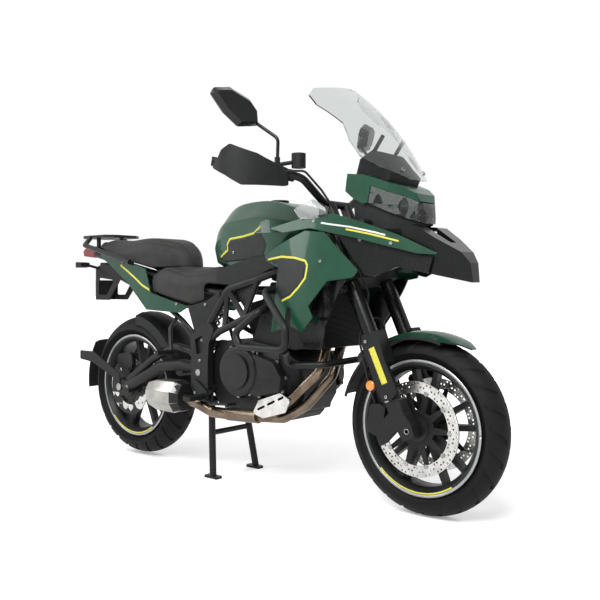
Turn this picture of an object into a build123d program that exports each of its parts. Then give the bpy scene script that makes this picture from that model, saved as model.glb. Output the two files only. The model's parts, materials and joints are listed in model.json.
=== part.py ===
"""Adventure motorcycle on its centre stand, as separate pieces in millimetres.

Frame: +X forward, +Y to the rider's left, +Z up. The origin lies on the floor, in the middle
of the length and of the width. The front tyre and the centre stand's feet touch the floor.
"""

from build123d import *
from math import atan2, cos, hypot, pi, radians, sin, sqrt
import os

# Overall sizes
wheelbase = 1505
tail_overhang = 395  # from the rear axle back to the tail
mirror_span = 920
rear_lift = 10  # gap under the rear tyre while the machine is on its centre stand

# Fits
running_gap = 0.3  # between a turning piece and what carries it
seat_gap = 0.3  # between neighbours that are screwed or clipped together
press_gap = 0.05  # between a bore and the shaft that is clamped in it

# Wheels and tyres
front_tyre_radius = 300
front_tyre_width = 120
front_rim_width = 102
rear_tyre_radius = 312
rear_tyre_width = 160
rear_rim_width = 128
rim_flange_radius = 231
bead_seat_radius = 218
rim_barrel_radius = 197
hub_radius = 44
spoke_pairs = 5
spoke_thickness = 30
axle_radius = 10
axle_bore_radius = 7

# Brakes and final drive
front_disc_radius = 160
front_disc_offset = 66
rear_disc_radius = 130
rear_disc_offset = 92
disc_thickness = 5
disc_ring_width = 38
disc_holes = 30
disc_hole_radius = 4
chain_offset = 94
chain_width = 18
chain_height = 15
front_sprocket_radius = 36
rear_sprocket_radius = 111

# Steering and fork
rake = 25
clamp_offset = 30
axle_lead = 12
fork_spacing = 210
stanchion_diameter = 46
outer_tube_diameter = 54
stem_radius = 15
head_tube_radius = 32
lower_clamp_level = 545  # levels along the steering axis, from the axle's height on it
clamp_spacing = 200
clamp_thickness = 34
fork_top_proud = 21
outer_tube_level = 335
riser_height = 83
bar_diameter = 28
bar_half_width = 428
bar_pullback = 188
bar_rise = 128
grip_diameter = 36

# Screen
screen_radius = 927

# Frame
rail_diameter = 30
strut_diameter = 22
frame_half_width = 180
pivot_z = 432
front_sprocket_z = 445
engine_half_width = 148
plate_inner = 165

# Stands
centre_pivot_z = 308
centre_foot_half = 138
side_pivot_z = 276

# Where the axles and the tail lie: the origin is half way along the machine
overall_length = front_tyre_radius + wheelbase + tail_overhang
front_axle_x = overall_length / 2 - front_tyre_radius
front_axle_z = front_tyre_radius
rear_axle_x = front_axle_x - wheelbase
rear_axle_z = rear_tyre_radius + rear_lift
tail_x = rear_axle_x - tail_overhang
fork_half = fork_spacing / 2
upper_clamp_level = lower_clamp_level + clamp_spacing
fork_top_level = upper_clamp_level + clamp_thickness + fork_top_proud
bar_level = upper_clamp_level + clamp_thickness + riser_height

# Outlines on the chassis are drawn for a tail and axles at these stations
drawn_tail, drawn_rear_axle, drawn_front_axle = -1100, -705, 800


def station(x):
    """Where a drawn station lies on a machine of this wheelbase and overhang."""
    if x > drawn_front_axle:
        return front_axle_x + x - drawn_front_axle
    if x > drawn_rear_axle:
        return rear_axle_x + (x - drawn_rear_axle) * wheelbase / (drawn_front_axle - drawn_rear_axle)
    return rear_axle_x + (x - drawn_rear_axle) * tail_overhang / (drawn_rear_axle - drawn_tail)


def stations(points):
    """A drawn outline or route, its x values set out on this machine."""
    return [(station(x), *rest) for x, *rest in points]


def at(x, y, z):
    return Vector(station(x), y, z)


pivot_x, front_sprocket_x = station(-130), station(-55)
centre_pivot_x, centre_foot_x, side_pivot_x = station(-150), station(-122), station(-20)

lean = radians(rake)
ahead = Vector(cos(lean), 0, sin(lean))  # square to the steering axis, forwards
along = Vector(-sin(lean), 0, cos(lean))  # up the steering axis
steer_foot = Vector(front_axle_x, 0, front_axle_z) - ahead * (clamp_offset + axle_lead)
steer_plane = Plane(origin=steer_foot, x_dir=ahead, z_dir=along)


# Shape helpers


def steered(u, v, w):
    """A point given ahead of, beside and along the steering axis."""
    return steer_foot + ahead * u + Vector(0, v, 0) + along * w


def outline_face(points, corner):
    face = make_face(Polyline(*points, close=True))
    return fillet(face.vertices(), corner) if corner else face


def prism_y(outline, low, high, corner=0):
    """An outline of (x, z) points, thickened from one y to another."""
    face = outline_face([(x, low, z) for x, z in outline], corner)
    return extrude(face, amount=high - low, dir=(0, 1, 0))


def prism_z(outline, low, high, corner=0):
    face = outline_face([(x, y, low) for x, y in outline], corner)
    return extrude(face, amount=high - low, dir=(0, 0, 1))


def prism_x(outline, low, high, corner=0):
    face = outline_face([(low, y, z) for y, z in outline], corner)
    return extrude(face, amount=high - low, dir=(1, 0, 0))


def prism_steered(outline, low, high, corner=0):
    """An outline of (u, w) points in the fork's side view, thickened from one v to another."""
    face = outline_face([steered(u, low, w) for u, w in outline], corner)
    return extrude(face, amount=high - low, dir=(0, 1, 0))


def rod(start, end, radius):
    start, end = Vector(*start), Vector(*end)
    return Solid.make_cylinder(radius, (end - start).length, Plane(origin=start, z_dir=end - start))


def bar(points, diameter, bend):
    """A round bar along straight runs joined by bends."""
    path = FilletPolyline(*points, radius=bend)
    section = Plane(origin=path @ 0, z_dir=path % 0) * Circle(diameter / 2)
    return sweep(section, path=path)


def turned(profile, x, z, angle=360, start=0):
    """A closed (y, radius) profile turned about the axle at x, z; start is measured up from +X."""
    face = make_face(Polyline(*[(x + r, y, z) for y, r in profile], close=True))
    axis = Axis((x, 0, z), (0, -1, 0))
    return revolve(turned_about(axis, start) * face if start else face, axis, angle)


def turned_about(axis, angle):
    place = Location(axis.position)
    return place * Rotation(0, -angle, 0) * place.inverse()


def mirrored(shape):
    return mirror(shape, about=Plane.XZ)


def both(shape):
    """The piece on the left and its mirror image on the right, as one node of two solids."""
    return Compound([*shape.solids(), *mirrored(shape).solids()])


def joined(base, *extras):
    """The base with every solid of the extras fused on, one at a time."""
    for extra in extras:
        for solid in extra.solids():
            base = base + solid
    return base


def trimmed(shape, *others):
    """What is left of a shape in front of its neighbours: the largest solid once they are cut away."""
    for other in others:
        shape = shape - other
    return max(shape.solids(), key=lambda solid: solid.volume)


def together(*shapes):
    """Several pieces of one node."""
    return Compound([solid for shape in shapes for solid in shape.solids()])


def side_panel(outline, plan, thickness, tuck, corner=0):
    """A left-hand panel: the outline in side view cut from a wall that follows the plan curve.

    The plan is (x, y) points at the outline's foot, and the wall leans in by tuck for each mm up.
    """
    levels = [z for _, z in outline]
    foot, rise = min(levels) - 1, max(levels) - min(levels) + 2
    outer = Spline(*[(x, y, foot) for x, y in plan])
    inner = Spline(*[(x, y - thickness, foot) for x, y in plan])
    ends = [Line(outer @ 1, inner @ 1), Line(inner @ 0, outer @ 0)]
    wall = extrude(make_face([outer, ends[0], inner, ends[1]]), amount=rise * hypot(1, tuck), dir=(0, -tuck, 1))
    widest = max(y for _, y in plan) + 10
    return wall & prism_y(outline, 0, widest, corner)


def ring(radius, inner, low, high, x, z):
    """A flat ring about an axle line, between two y values."""
    disc = rod((x, low, z), (x, high, z), radius)
    return disc - rod((x, low - 1, z), (x, high + 1, z), inner)


# Wheels


def cast_rim(x, z, width, hub_half):
    half = width / 2
    drop = bead_seat_radius - 13
    section = [
        (-half, bead_seat_radius - 6), (-half, rim_flange_radius), (-half + 7, rim_flange_radius),
        (-half + 10, bead_seat_radius), (-half + 24, bead_seat_radius), (-half + 34, drop),
        (half - 34, drop), (half - 24, bead_seat_radius), (half - 10, bead_seat_radius),
        (half - 7, rim_flange_radius), (half, rim_flange_radius), (half, bead_seat_radius - 6),
        (half - 22, rim_barrel_radius), (-half + 22, rim_barrel_radius),
    ]
    rim = turned(section, x, z)
    hub = rod((x, -hub_half, z), (x, hub_half, z), hub_radius)
    blade_root, blade_tip = 26, 17
    reach = rim_barrel_radius + 4
    blade = prism_y(
        [(hub_radius - 12, -blade_root / 2), (reach, -blade_tip / 2), (reach, blade_tip / 2), (hub_radius - 12, blade_root / 2)],
        -spoke_thickness / 2, spoke_thickness / 2,
    )
    wheel = rim + hub
    for pair in range(spoke_pairs):
        for side in (-1, 1):
            turn = 360 / spoke_pairs * pair + 90 + side * 13
            wheel += Location((x, 0, z)) * Rotation(0, -turn, 0) * blade
    return wheel - rod((x, -hub_half - 1, z), (x, hub_half + 1, z), axle_radius + running_gap)


def tyre(x, z, radius, width, rim_width):
    bead_half = rim_width / 2 - 10.5
    seat = bead_seat_radius + 0.5
    cheek = rim_flange_radius + 3
    shoulder = rim_flange_radius + 26
    half = width / 2

    def at(y, r):
        return (x + r, y, z)

    edges = [
        Polyline(at(half, shoulder), at(bead_half, cheek), at(bead_half, seat), at(-bead_half, seat),
                 at(-bead_half, cheek), at(-half, shoulder)),
        ThreePointArc(at(-half, shoulder), at(0, radius), at(half, shoulder)),
    ]
    return revolve(make_face(edges), Axis((x, 0, z), (0, 1, 0)), 360)


def drilled_disc(x, z, offset, radius, inner):
    low, high = offset - disc_thickness / 2, offset + disc_thickness / 2
    disc = ring(radius, inner, low, high, x, z)
    rows = (0.32, 0.7)
    for number in range(disc_holes):
        turn = radians(360 / disc_holes * number)
        reach = inner + (radius - inner) * rows[number % 2]
        hole = (x + reach * cos(turn), z + reach * sin(turn))
        disc -= rod((hole[0], low - 1, hole[1]), (hole[0], high + 1, hole[1]), disc_hole_radius)
    return disc


def disc_carrier(x, z, low, high, arms, inner, reach):
    carrier = ring(inner + 20, inner, low, high, x, z)
    arm = prism_y([(inner + 10, -13), (reach, -7), (reach, 7), (inner + 10, 13)], low, high)
    for number in range(arms):
        carrier += Location((x, 0, z)) * Rotation(0, -360 / arms * number, 0) * arm
    return carrier


front_hub_half = 66
carrier_outer = front_disc_offset - disc_thickness / 2
carrier_inner = carrier_outer - 6
rear_hub_half = 100


def front_rim():
    return cast_rim(front_axle_x, front_axle_z, front_rim_width, front_hub_half)


def front_tyre():
    return tyre(front_axle_x, front_axle_z, front_tyre_radius, front_tyre_width, front_rim_width)


def front_discs():
    return both(drilled_disc(front_axle_x, front_axle_z, front_disc_offset, front_disc_radius,
                             front_disc_radius - disc_ring_width))


def front_disc_carriers():
    reach = front_disc_radius - disc_ring_width + 8
    return both(disc_carrier(front_axle_x, front_axle_z, carrier_inner, carrier_outer, 10,
                             hub_radius + press_gap, reach))


def rear_rim():
    return cast_rim(rear_axle_x, rear_axle_z, rear_rim_width, rear_hub_half)


def rear_tyre():
    return tyre(rear_axle_x, rear_axle_z, rear_tyre_radius, rear_tyre_width, rear_rim_width)


def rear_disc():
    disc = drilled_disc(rear_axle_x, rear_axle_z, -rear_disc_offset, rear_disc_radius,
                        rear_disc_radius - disc_ring_width - 6)
    low = -rear_disc_offset - disc_thickness / 2
    web = disc_carrier(rear_axle_x, rear_axle_z, low, low + disc_thickness, 5,
                       hub_radius + press_gap, rear_disc_radius - disc_ring_width)
    return disc + web


def rear_sprocket():
    tip = rear_sprocket_radius - chain_height / 2 - 1.5
    teeth, low, high = 44, chain_offset - 3.5, chain_offset + 3.5
    outline = []
    for number in range(teeth):
        for share, reach in ((-0.36, tip - 8), (-0.14, tip), (0.14, tip), (0.36, tip - 8)):
            turn = 2 * pi * (number + share) / teeth
            outline.append((rear_axle_x + reach * cos(turn), rear_axle_z + reach * sin(turn)))
    plate = prism_y(outline, low, high) - rod((rear_axle_x, low - 1, rear_axle_z), (rear_axle_x, high + 1, rear_axle_z), tip - 22)
    return plate + disc_carrier(rear_axle_x, rear_axle_z, low, high, 5, hub_radius + press_gap, tip - 18)


# Front axle, fork and steering

fork_foot_inner = 80
fork_foot_outer = 128


def front_axle():
    x, z = front_axle_x, front_axle_z
    shaft = rod((x, -fork_foot_outer, z), (x, fork_foot_outer, z), axle_radius)
    inner = front_hub_half + running_gap
    for side in (-1, 1):
        shaft += rod((x, side * inner, z), (x, side * fork_foot_inner, z), axle_radius + 7)
    return shaft - rod((x, -fork_foot_outer - 1, z), (x, fork_foot_outer + 1, z), axle_bore_radius)


def triple_clamps():
    reach = fork_half + outer_tube_diameter / 2 + 10
    clamps = []
    for level in (lower_clamp_level, upper_clamp_level):
        outline = [(-30, -34), (clamp_offset - 30, -reach), (clamp_offset + 34, -reach), (clamp_offset + 44, 0),
                   (clamp_offset + 34, reach), (clamp_offset - 30, reach), (-30, 34)]
        face = make_face(Polyline(*[steered(u, v, level) for u, v in outline], close=True))
        clamps.append(extrude(face, amount=clamp_thickness, dir=along))
    stem = rod(steered(0, 0, lower_clamp_level), steered(0, 0, upper_clamp_level + clamp_thickness + 8), stem_radius)
    yoke = clamps[0] + clamps[1] + stem
    for side in (-1, 1):
        bore = rod(steered(clamp_offset, side * fork_half, lower_clamp_level - 50),
                   steered(clamp_offset, side * fork_half, fork_top_level + 50),
                   outer_tube_diameter / 2 + press_gap)
        yoke -= bore
        riser_foot = steered(clamp_offset - 10, side * 45, upper_clamp_level + clamp_thickness - 2)
        riser_top = steered(clamp_offset - 10, side * 45, bar_level)
        yoke += rod(riser_foot, riser_top, 21)
    return yoke - handlebar_bar(bar_diameter + 2 * press_gap)


def fork_outer_tubes():
    tube = rod(steered(clamp_offset, fork_half, outer_tube_level), steered(clamp_offset, fork_half, fork_top_level),
               outer_tube_diameter / 2)
    cap = rod(steered(clamp_offset, fork_half, fork_top_level - 1), steered(clamp_offset, fork_half, fork_top_level + 10), 18)
    return both(tube + cap)


def fork_feet():
    """Stanchion, axle clamp and caliper lugs of each leg."""
    leg = rod(steered(clamp_offset, fork_half, 40), steered(clamp_offset, fork_half, outer_tube_level), stanchion_diameter / 2)
    axle_u = clamp_offset + axle_lead
    boot = prism_steered(
        [(axle_u - 26, -26), (axle_u + 24, -26), (axle_u + 26, 10), (clamp_offset + 27, 60), (clamp_offset + 27, 112),
         (clamp_offset - 27, 112), (clamp_offset - 30, 60)], fork_foot_inner, fork_foot_outer, 9)
    lug = prism_steered([(clamp_offset - 20, 20), (clamp_offset - 20, 88), (-62, 58), (-92, 20), (-92, -12), (-62, -8)],
                        caliper_outer, caliper_outer + 14, 6)
    foot = boot + leg + lug
    bore = rod((front_axle_x, 0, front_axle_z), (front_axle_x, fork_foot_outer + 5, front_axle_z), axle_radius + press_gap)
    return both(foot - bore)


caliper_outer = 97


def caliper(x, z, turn, disc_radius, inner, slot_inner, slot_outer, outer):
    """A block that straddles the disc at an angle up from +X, with its bridge outside the rim of the disc."""
    length, root, top = 112, disc_radius - 48, disc_radius + 18
    block = prism_y([(root, -length / 2 + 8), (root + 24, -length / 2), (top - 8, -length / 2 + 6), (top, -length / 2 + 22),
                     (top, length / 2 - 22), (top - 8, length / 2 - 6), (root + 24, length / 2), (root, length / 2 - 8)],
                    inner, outer, 4)
    slot = prism_y([(root - 1, -length), (disc_radius + 6, -length), (disc_radius + 6, length), (root - 1, length)],
                   slot_inner, slot_outer)
    return Location((x, 0, z)) * Rotation(0, -turn, 0) * (block - slot)


def front_calipers():
    return both(caliper(front_axle_x, front_axle_z, 172, front_disc_radius, 38, 52, 74, caliper_outer))


def fork_guards():
    """Plastic shield outside each stanchion, with its clamp collar."""
    outer = fork_foot_outer + 9
    shield = prism_steered(
        [(-4, 120), (36, 112), (70, 128), (66, 240), (78, 345), (14, 352), (0, 320)], outer - 5, outer, 10)
    front = prism_steered([(58, 235), (66, 235), (77, 345), (69, 345)], 79, outer - 1)
    collar = rod(steered(clamp_offset, fork_half, 150), steered(clamp_offset, fork_half, 166), 29)
    collar += prism_steered([(clamp_offset - 12, 148), (clamp_offset + 12, 148), (clamp_offset + 12, 168), (clamp_offset - 12, 168)],
                            fork_half, outer - 1)
    guard = shield + front + collar
    return both(guard - rod(steered(clamp_offset, fork_half, 0), steered(clamp_offset, fork_half, 400),
                            outer_tube_diameter / 2 + seat_gap)
                + (collar - rod(steered(clamp_offset, fork_half, 0), steered(clamp_offset, fork_half, 400),
                                stanchion_diameter / 2 + press_gap)))


def mudguard_shell(x, z, inner, half, drop, start, sweep_angle, wall=4):
    """A crowned shell that follows a tyre, with side lips."""
    profile = [(-half, inner - drop), (-half, inner - 6), (-half * 0.6, inner + 8), (0, inner + 12), (half * 0.6, inner + 8),
               (half, inner - 6), (half, inner - drop), (half - wall, inner - drop), (half - wall, inner - 7),
               (half * 0.57, inner + 8 - wall), (0, inner + 12 - wall), (-half * 0.57, inner + 8 - wall),
               (-half + wall, inner - 7), (-half + wall, inner - drop)]
    return turned(profile, x, z, sweep_angle, start)


def front_fender():
    shell = mudguard_shell(front_axle_x, front_axle_z, front_tyre_radius + 14, 74, 16, 56, 108)
    nose = [(front_axle_x - 400, -90), (front_axle_x + 50, -90), (front_axle_x + 130, -52), (front_axle_x + 176, -16),
            (front_axle_x + 176, 16), (front_axle_x + 130, 52), (front_axle_x + 50, 90), (front_axle_x - 400, 90)]
    fender = shell & prism_z(nose, 0, 900)
    stay = rod(steered(clamp_offset, 72, 290), steered(clamp_offset, fork_half - stanchion_diameter / 2 + 4, 290), 9)
    stay -= rod(steered(clamp_offset, fork_half, 200), steered(clamp_offset, fork_half, 330), stanchion_diameter / 2 + press_gap)
    return fender + stay + mirrored(stay)


# Handlebar and what is on it

bar_centre = steered(clamp_offset - 10, 0, bar_level)
bar_end = bar_centre + Vector(-bar_pullback, bar_half_width, bar_rise)


def bar_points():
    rise = [Vector(bar_centre.X, 75, bar_centre.Z), Vector(bar_centre.X + 2, 205, bar_centre.Z + 82)]
    left = [*rise, bar_end]
    right = [Vector(p.X, -p.Y, p.Z) for p in reversed(left)]
    return right + left


def handlebar_bar(diameter):
    return bar(bar_points(), diameter, 60)


def along_bar(share):
    """A point on the left grip stretch, from the bend (0) to the bar's end (1)."""
    bend = bar_points()[-2]
    return bend + (bar_end - bend) * share


grip_start, grip_finish = 0.42, 0.95


def handlebar():
    tip = along_bar(0.995)
    weight = rod(tip, tip + (bar_end - along_bar(0.5)).normalized() * 22, 16)
    return handlebar_bar(bar_diameter) + weight + mirrored(weight)


def grips():
    sleeve = rod(along_bar(grip_start), along_bar(grip_finish), grip_diameter / 2)
    return both(sleeve - rod(along_bar(grip_start - 0.1), along_bar(1.1), bar_diameter / 2 + press_gap))


def handguards():
    """Wrap-round shields in front of the grips, each on its bar-end arm and inner clamp."""
    plan = [(bar_end.X - 4, bar_end.Y + 24), (bar_end.X + 62, bar_end.Y + 14), (bar_end.X + 134, bar_end.Y - 58),
            (bar_end.X + 162, bar_end.Y - 122), (bar_end.X + 178, bar_end.Y - 170)]
    drawn = [(-2, -22), (52, -50), (100, -84), (176, -82), (175, -20), (130, 25), (64, 56), (34, 36), (20, 8), (-2, 6)]
    outline = [(bar_end.X + x, bar_end.Z + z) for x, z in drawn]
    shield = side_panel(outline, plan, 5, 0.06, 8)
    arm = rod(bar_end + Vector(2, 1, -5), bar_end + Vector(2, 20, -8), 9)
    inner = along_bar(0.13)
    clamp = rod(along_bar(0.09), along_bar(0.17), 21)
    clamp += rod(inner, bar_end + Vector(170, -160, -54), 8)
    guard = shield + arm + clamp
    guard -= rod(along_bar(0.05), along_bar(0.5), bar_diameter / 2 + press_gap)
    tip = along_bar(0.995)
    guard -= rod(tip - (bar_end - inner).normalized() * 20, tip + (bar_end - inner).normalized() * 22, 16 + seat_gap)
    return both(guard)


def controls():
    """Lever perches with their blades, and the brake reservoir on the right."""
    bore = rod(along_bar(0.1), along_bar(0.6), bar_diameter / 2 + press_gap)
    root = along_bar(0.32)
    pivot = root + Vector(30, 0, -4)
    perch = rod(along_bar(0.25), along_bar(0.38), 24) + rod(root, pivot, 11)
    perch += bar([pivot, along_bar(0.5) + Vector(44, 0, -6), along_bar(0.93) + Vector(46, 0, -8)], 12, 40)
    perch -= bore
    centre = bar_centre + Vector(-4, -215, 140)
    pot = rod(centre - Vector(0, 0, 26), centre + Vector(0, 0, 24), 25)
    right = mirrored(perch) + pot + rod((root.X + 2, -root.Y + 4, root.Z + 26), centre + Vector(-16, -10, -6), 7)
    right -= mirrored(bore)
    return Compound([*perch.solids(), *right.solids()])


def mirrors(perches):
    foot = along_bar(0.285) + Vector(-4, 0, 19)
    knee = Vector(foot.X + 6, foot.Y + 2, bar_end.Z + 86)
    outer = mirror_span / 2
    neck = Vector(bar_end.X + 64, outer - 150, bar_end.Z + 146)
    stalk = bar([foot, knee, neck], 12, 26) + rod(foot, foot + Vector(1, 0, 36), 10)
    # The head's outline lies in a plane across the machine that faces back and a little in, towards the rider.
    facing = Plane(origin=neck, x_dir=(-0.45, 1, 0), z_dir=(1, 0.45, -0.1))
    outline = [(-14, -12), (62, -20), (118, 24), (164, 82), (152, 104), (96, 110), (22, 76), (-8, 40)]
    face = fillet(make_face(Polyline(*outline, close=True)).vertices(), 10)
    head = extrude(facing * face, amount=-9) + extrude(facing * face, amount=30, taper=24)
    return both(trimmed(stalk, perches, mirrored(perches)) + head)


hose_diameter = 8


def brake_hoses(calipers, perches, guards):
    """The line from the master cylinder down the right leg, and the one across to the left caliper."""
    main = [(-52, -76, 119), (-34, -86, 230), (-22, -84, 345), (10, -66, 420), (60, -74, 490), (74, -100, 548), (74, -104, 700),
            (74, -108, 800), (78, -150, 878), (92, -226, 938), (40, -272, 962)]
    half = [(-66, -88, 121), (-56, -88, 230), (-38, -86, 350), (-14, -50, 425)]
    across = half + [(u, -v, w) for u, v, w in reversed(half)]
    routes = [bar([steered(*point) for point in route], hose_diameter, 26) for route in (main, across)]
    return together(*[trimmed(route, calipers, perches, guards) for route in routes])


# Frame


def rail_points():
    upper = [steered(-20, 14, upper_clamp_level - 28), at(330, 112, 862), at(170, 164, 802),
             at(25, frame_half_width, 762), at(-95, frame_half_width - 2, 606)]
    lower = [steered(-20, 14, lower_clamp_level + 62), at(362, 150, 746), at(216, frame_half_width - 2, 692),
             at(-25, frame_half_width, 598), at(-92, frame_half_width - 2, 556)]
    return upper, lower


def frame_side():
    upper, lower = rail_points()
    side = bar(upper, rail_diameter, 70) + bar(lower, rail_diameter - 2, 70)
    struts = [(upper[1], at(300, 152, 723)), (upper[2], at(104, frame_half_width, 649)),
              (upper[3], at(4, frame_half_width, 610)), (upper[3], at(112, frame_half_width, 652))]
    for start, end in struts:
        side += rod(start, end, strut_diameter / 2)
    return side


def frame_trellis():
    head = rod(steered(0, 0, lower_clamp_level + clamp_thickness + 4), steered(0, 0, upper_clamp_level - 4), head_tube_radius)
    side = frame_side()
    frame = head + side + mirrored(side)
    upper, _ = rail_points()
    for point in (upper[1], upper[3]):
        frame += rod((point.X, -point.Y, point.Z), (point.X, point.Y, point.Z), strut_diameter / 2 + 1)
    stay_end = at(652, 0, 988)
    frame += rod(steered(20, 0, lower_clamp_level + 145), stay_end, 15) + rod(stay_end - Vector(0, 174, 0), stay_end + Vector(0, 174, 0), 11)
    for y in (-70, 70):
        frame += rod((stay_end.X, y, stay_end.Z), at(630, y, 1085), 9)
    return frame - rod(steered(0, 0, lower_clamp_level), steered(0, 0, fork_top_level), stem_radius + running_gap)


def pivot_plates(frame):
    """Cast plates that carry the swingarm, joined under it by a cross tube with the centre stand's lugs."""
    outline = stations([(-182, 578), (-140, 600), (-100, 628), (-62, 628), (-40, 606), (-70, 548), (-76, 470), (-76, 372),
               (-92, 344), (-160, 344), (-174, 372), (-172, 420), (-172, 500)])
    plate = prism_y(outline, plate_inner, plate_inner + 30, 12)
    plate -= prism_y(stations([(-150, 560), (-110, 580), (-96, 520), (-140, 500)]), plate_inner + 18, 240, 6)
    lug = prism_y(stations([(-166, 372), (-108, 372), (-130, 288), (-168, 288)]), 124, 132, 8)
    side = plate + lug
    plates = side + mirrored(side) + rod(at(-128, -plate_inner - 2, 360), at(-128, plate_inner + 2, 360), 12)
    plates -= rod((pivot_x, -240, pivot_z), (pivot_x, 240, pivot_z), 13 + press_gap)
    plates -= rod((centre_pivot_x, -200, centre_pivot_z), (centre_pivot_x, 200, centre_pivot_z), 10 + press_gap)
    return plates - frame


def subframe(frame, plates):
    upper = stations([(14, 116, 742), (-130, 102, 750), (-300, 98, 772), (-1000, 64, 923)])
    lower = stations([(-166, 168, 566), (-300, 130, 632), (-470, 112, 716), (-640, 90, 838)])
    side = bar(upper, 24, 120) + bar(lower, 22, 120)
    rails = side + mirrored(side)
    for x, half, z in ((-205, 100, 759), (-930, 67, 908)):
        rails += rod(at(x, -half, z), at(x, half, z), 10)
    tab = rod(at(12, 110, 742), at(22, frame_half_width, 758), 12)
    rails += tab + mirrored(tab)
    return rails - frame - plates


# Engine


def engine_block(frame, plates):
    crankcase = prism_y(stations([(-96, 360), (-60, 312), (60, 292), (296, 300), (338, 366), (330, 470), (262, 548), (60, 572),
                         (-60, 556), (-96, 500)]), -engine_half_width, engine_half_width, 22)
    crankcase -= prism_y(stations([(-200, 380), (2, 380), (2, 512), (-200, 512)]), 74, 200)  # front sprocket's recess
    for side in (-1, 1):
        crankcase -= prism_z(stations([(310, side * 96), (206, side * 200), (400, side * 200), (400, side * 96)]), 200, 560)
    sump = prism_y(stations([(40, 300), (70, 268), (262, 270), (300, 310)]), -86, 86, 10)
    cylinders = prism_y(stations([(92, 560), (318, 540), (368, 650), (150, 690)]), -118, 118, 6)
    head = prism_y(stations([(146, 684), (372, 644), (400, 706), (166, 752)]), -128, 128, 6)
    cover = prism_y(stations([(168, 746), (398, 700), (390, 742), (330, 776), (186, 790)]), -112, 112, 12)
    block = crankcase + sump + cylinders + head + cover
    for y in (-44, 44):
        block += rod(at(360, y, 680), at(404, y, 640), 27)  # exhaust ports
    x, z = front_sprocket_x, front_sprocket_z
    block += rod((x, 73, z), (x, chain_offset + 10, z), 16)
    block += rod((x, chain_offset - 4, z), (x, chain_offset + 4, z), front_sprocket_radius - chain_height / 2 - 1)
    for side in (-1, 1):
        block += rod(at(216, side * 100, 692), at(216, side * (frame_half_width - 2), 692), 11)
        block += rod(at(-72, side * 130, 546), at(-72, side * 166, 546), 13) + rod(at(-82, side * 130, 372), at(-82, side * 166, 372), 12)
    return block - frame - plates


def clutch_cover():
    x, z, inner = station(84), 452, -engine_half_width
    cover = rod((x, inner, z), (x, inner - 50, z), 96) - Solid.make_box(1, 1, 1)
    cover = fillet(cover.edges().filter_by(GeomType.CIRCLE).sort_by(Axis.Y)[0], 12)
    cover += rod((x, inner - 49, z), (x, inner - 58, z), 66)
    for number in range(10):
        turn = radians(36 * number + 12)
        lug = (x + 98 * cos(turn), z + 98 * sin(turn))
        cover += rod((lug[0], inner, lug[1]), (lug[0], inner - 24, lug[1]), 10)
    outline = stations([(150, 372), (172, 362), (290, 390), (304, 440), (262, 496), (160, 520), (120, 480)])
    cover += prism_y(outline, inner - 40, inner, 14)
    for lug in outline[1:6]:
        cover += rod((lug[0], inner, lug[1]), (lug[0], inner - 14, lug[1]), 10)
    return cover


def alternator_cover():
    x, z = station(226), 430
    cover = rod((x, engine_half_width, z), (x, engine_half_width + 42, z), 84)
    cover = fillet(cover.edges().filter_by(GeomType.CIRCLE).sort_by(Axis.Y)[-1], 14)
    cover += rod((x, engine_half_width + 41, z), (x, engine_half_width + 47, z), 46)
    for number in range(8):
        turn = radians(45 * number + 20)
        lug = (x + 86 * cos(turn), z + 86 * sin(turn))
        cover += rod((lug[0], engine_half_width, lug[1]), (lug[0], engine_half_width + 22, lug[1]), 10)
    lid = prism_y(stations([(-94, 390), (-20, 376), (60, 400), (120, 360), (150, 372), (150, 500), (40, 540), (-60, 520), (-94, 500)]),
                  engine_half_width, engine_half_width + 12, 12)
    return cover + lid


# Tank and seats


def body_section(x, right, corner):
    """A closed section across the machine, given by the corners of its left half from the top down."""
    points = right + [(-y, z) for y, z in reversed(right) if y > 0]
    return outline_face([(station(x), y, z) for y, z in points], corner)


def tank_section(x, half, low, high, crown):
    """Flat top, sloping shoulder, flat knee side and a tucked foot."""
    height = high - low
    right = [(half * 0.48, high - crown), (half * 0.9, high - height * 0.27), (half, low + height * 0.5),
             (half * 0.84, low + height * 0.1), (half * 0.5, low)]
    return body_section(x, right, 12)


def fuel_tank(frame, seat):
    sections = [(-146, 88, 858, 986, 4), (-112, 112, 850, 1042, 4), (-60, 134, 838, 1084, 4), (10, 154, 818, 1102, 4),
                (100, 172, 826, 1106, 4), (200, 188, 846, 1096, 4), (290, 180, 872, 1068, 4), (345, 142, 900, 1036, 4)]
    tank = loft([tank_section(*section) for section in sections])
    tank -= fuel_pocket()
    tank &= Solid.make_box(1000, 400, 400, Plane(origin=(-500, -200, 812)))
    return tank - frame - seat


cap_x, cap_radius, cap_level = station(130), 36, 1092


def fuel_pocket():
    return rod((cap_x, 0, cap_level), (cap_x, 0, cap_level + 60), cap_radius + seat_gap)


def fuel_cap():
    lid = rod((cap_x, 0, cap_level), (cap_x, 0, cap_level + 16), cap_radius)
    return fillet(lid.edges().filter_by(GeomType.CIRCLE).sort_by(Axis.Z)[-1], 3)


def seat_section(x, half, low, high):
    return body_section(x, [(half * 0.6, high), (half * 0.93, high - 26), (half, high - 64), (half * 0.98, low)], 16)


def rider_seat():
    """The saddle, dished between the tank and the step, its skirts down to the side panels."""
    side = stations([(-508, 853), (-480, 752), (-236, 700), (-104, 726), (-52, 788), (-52, 900), (-346, 900), (-346, 853)])
    sections = [(-516, 130, 690, 862), (-430, 149, 690, 862), (-346, 154, 690, 858), (-280, 150, 690, 842), (-200, 136, 690, 846),
                (-120, 110, 690, 852), (-44, 92, 690, 846)]
    seat = loft([seat_section(*section) for section in sections]) & prism_y(side, -170, 170)
    hollow = prism_y(stations([(-600, 640), (0, 640), (0, 770), (-300, 798), (-420, 820), (-600, 849)]), -122, 122)
    return seat - hollow


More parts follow.
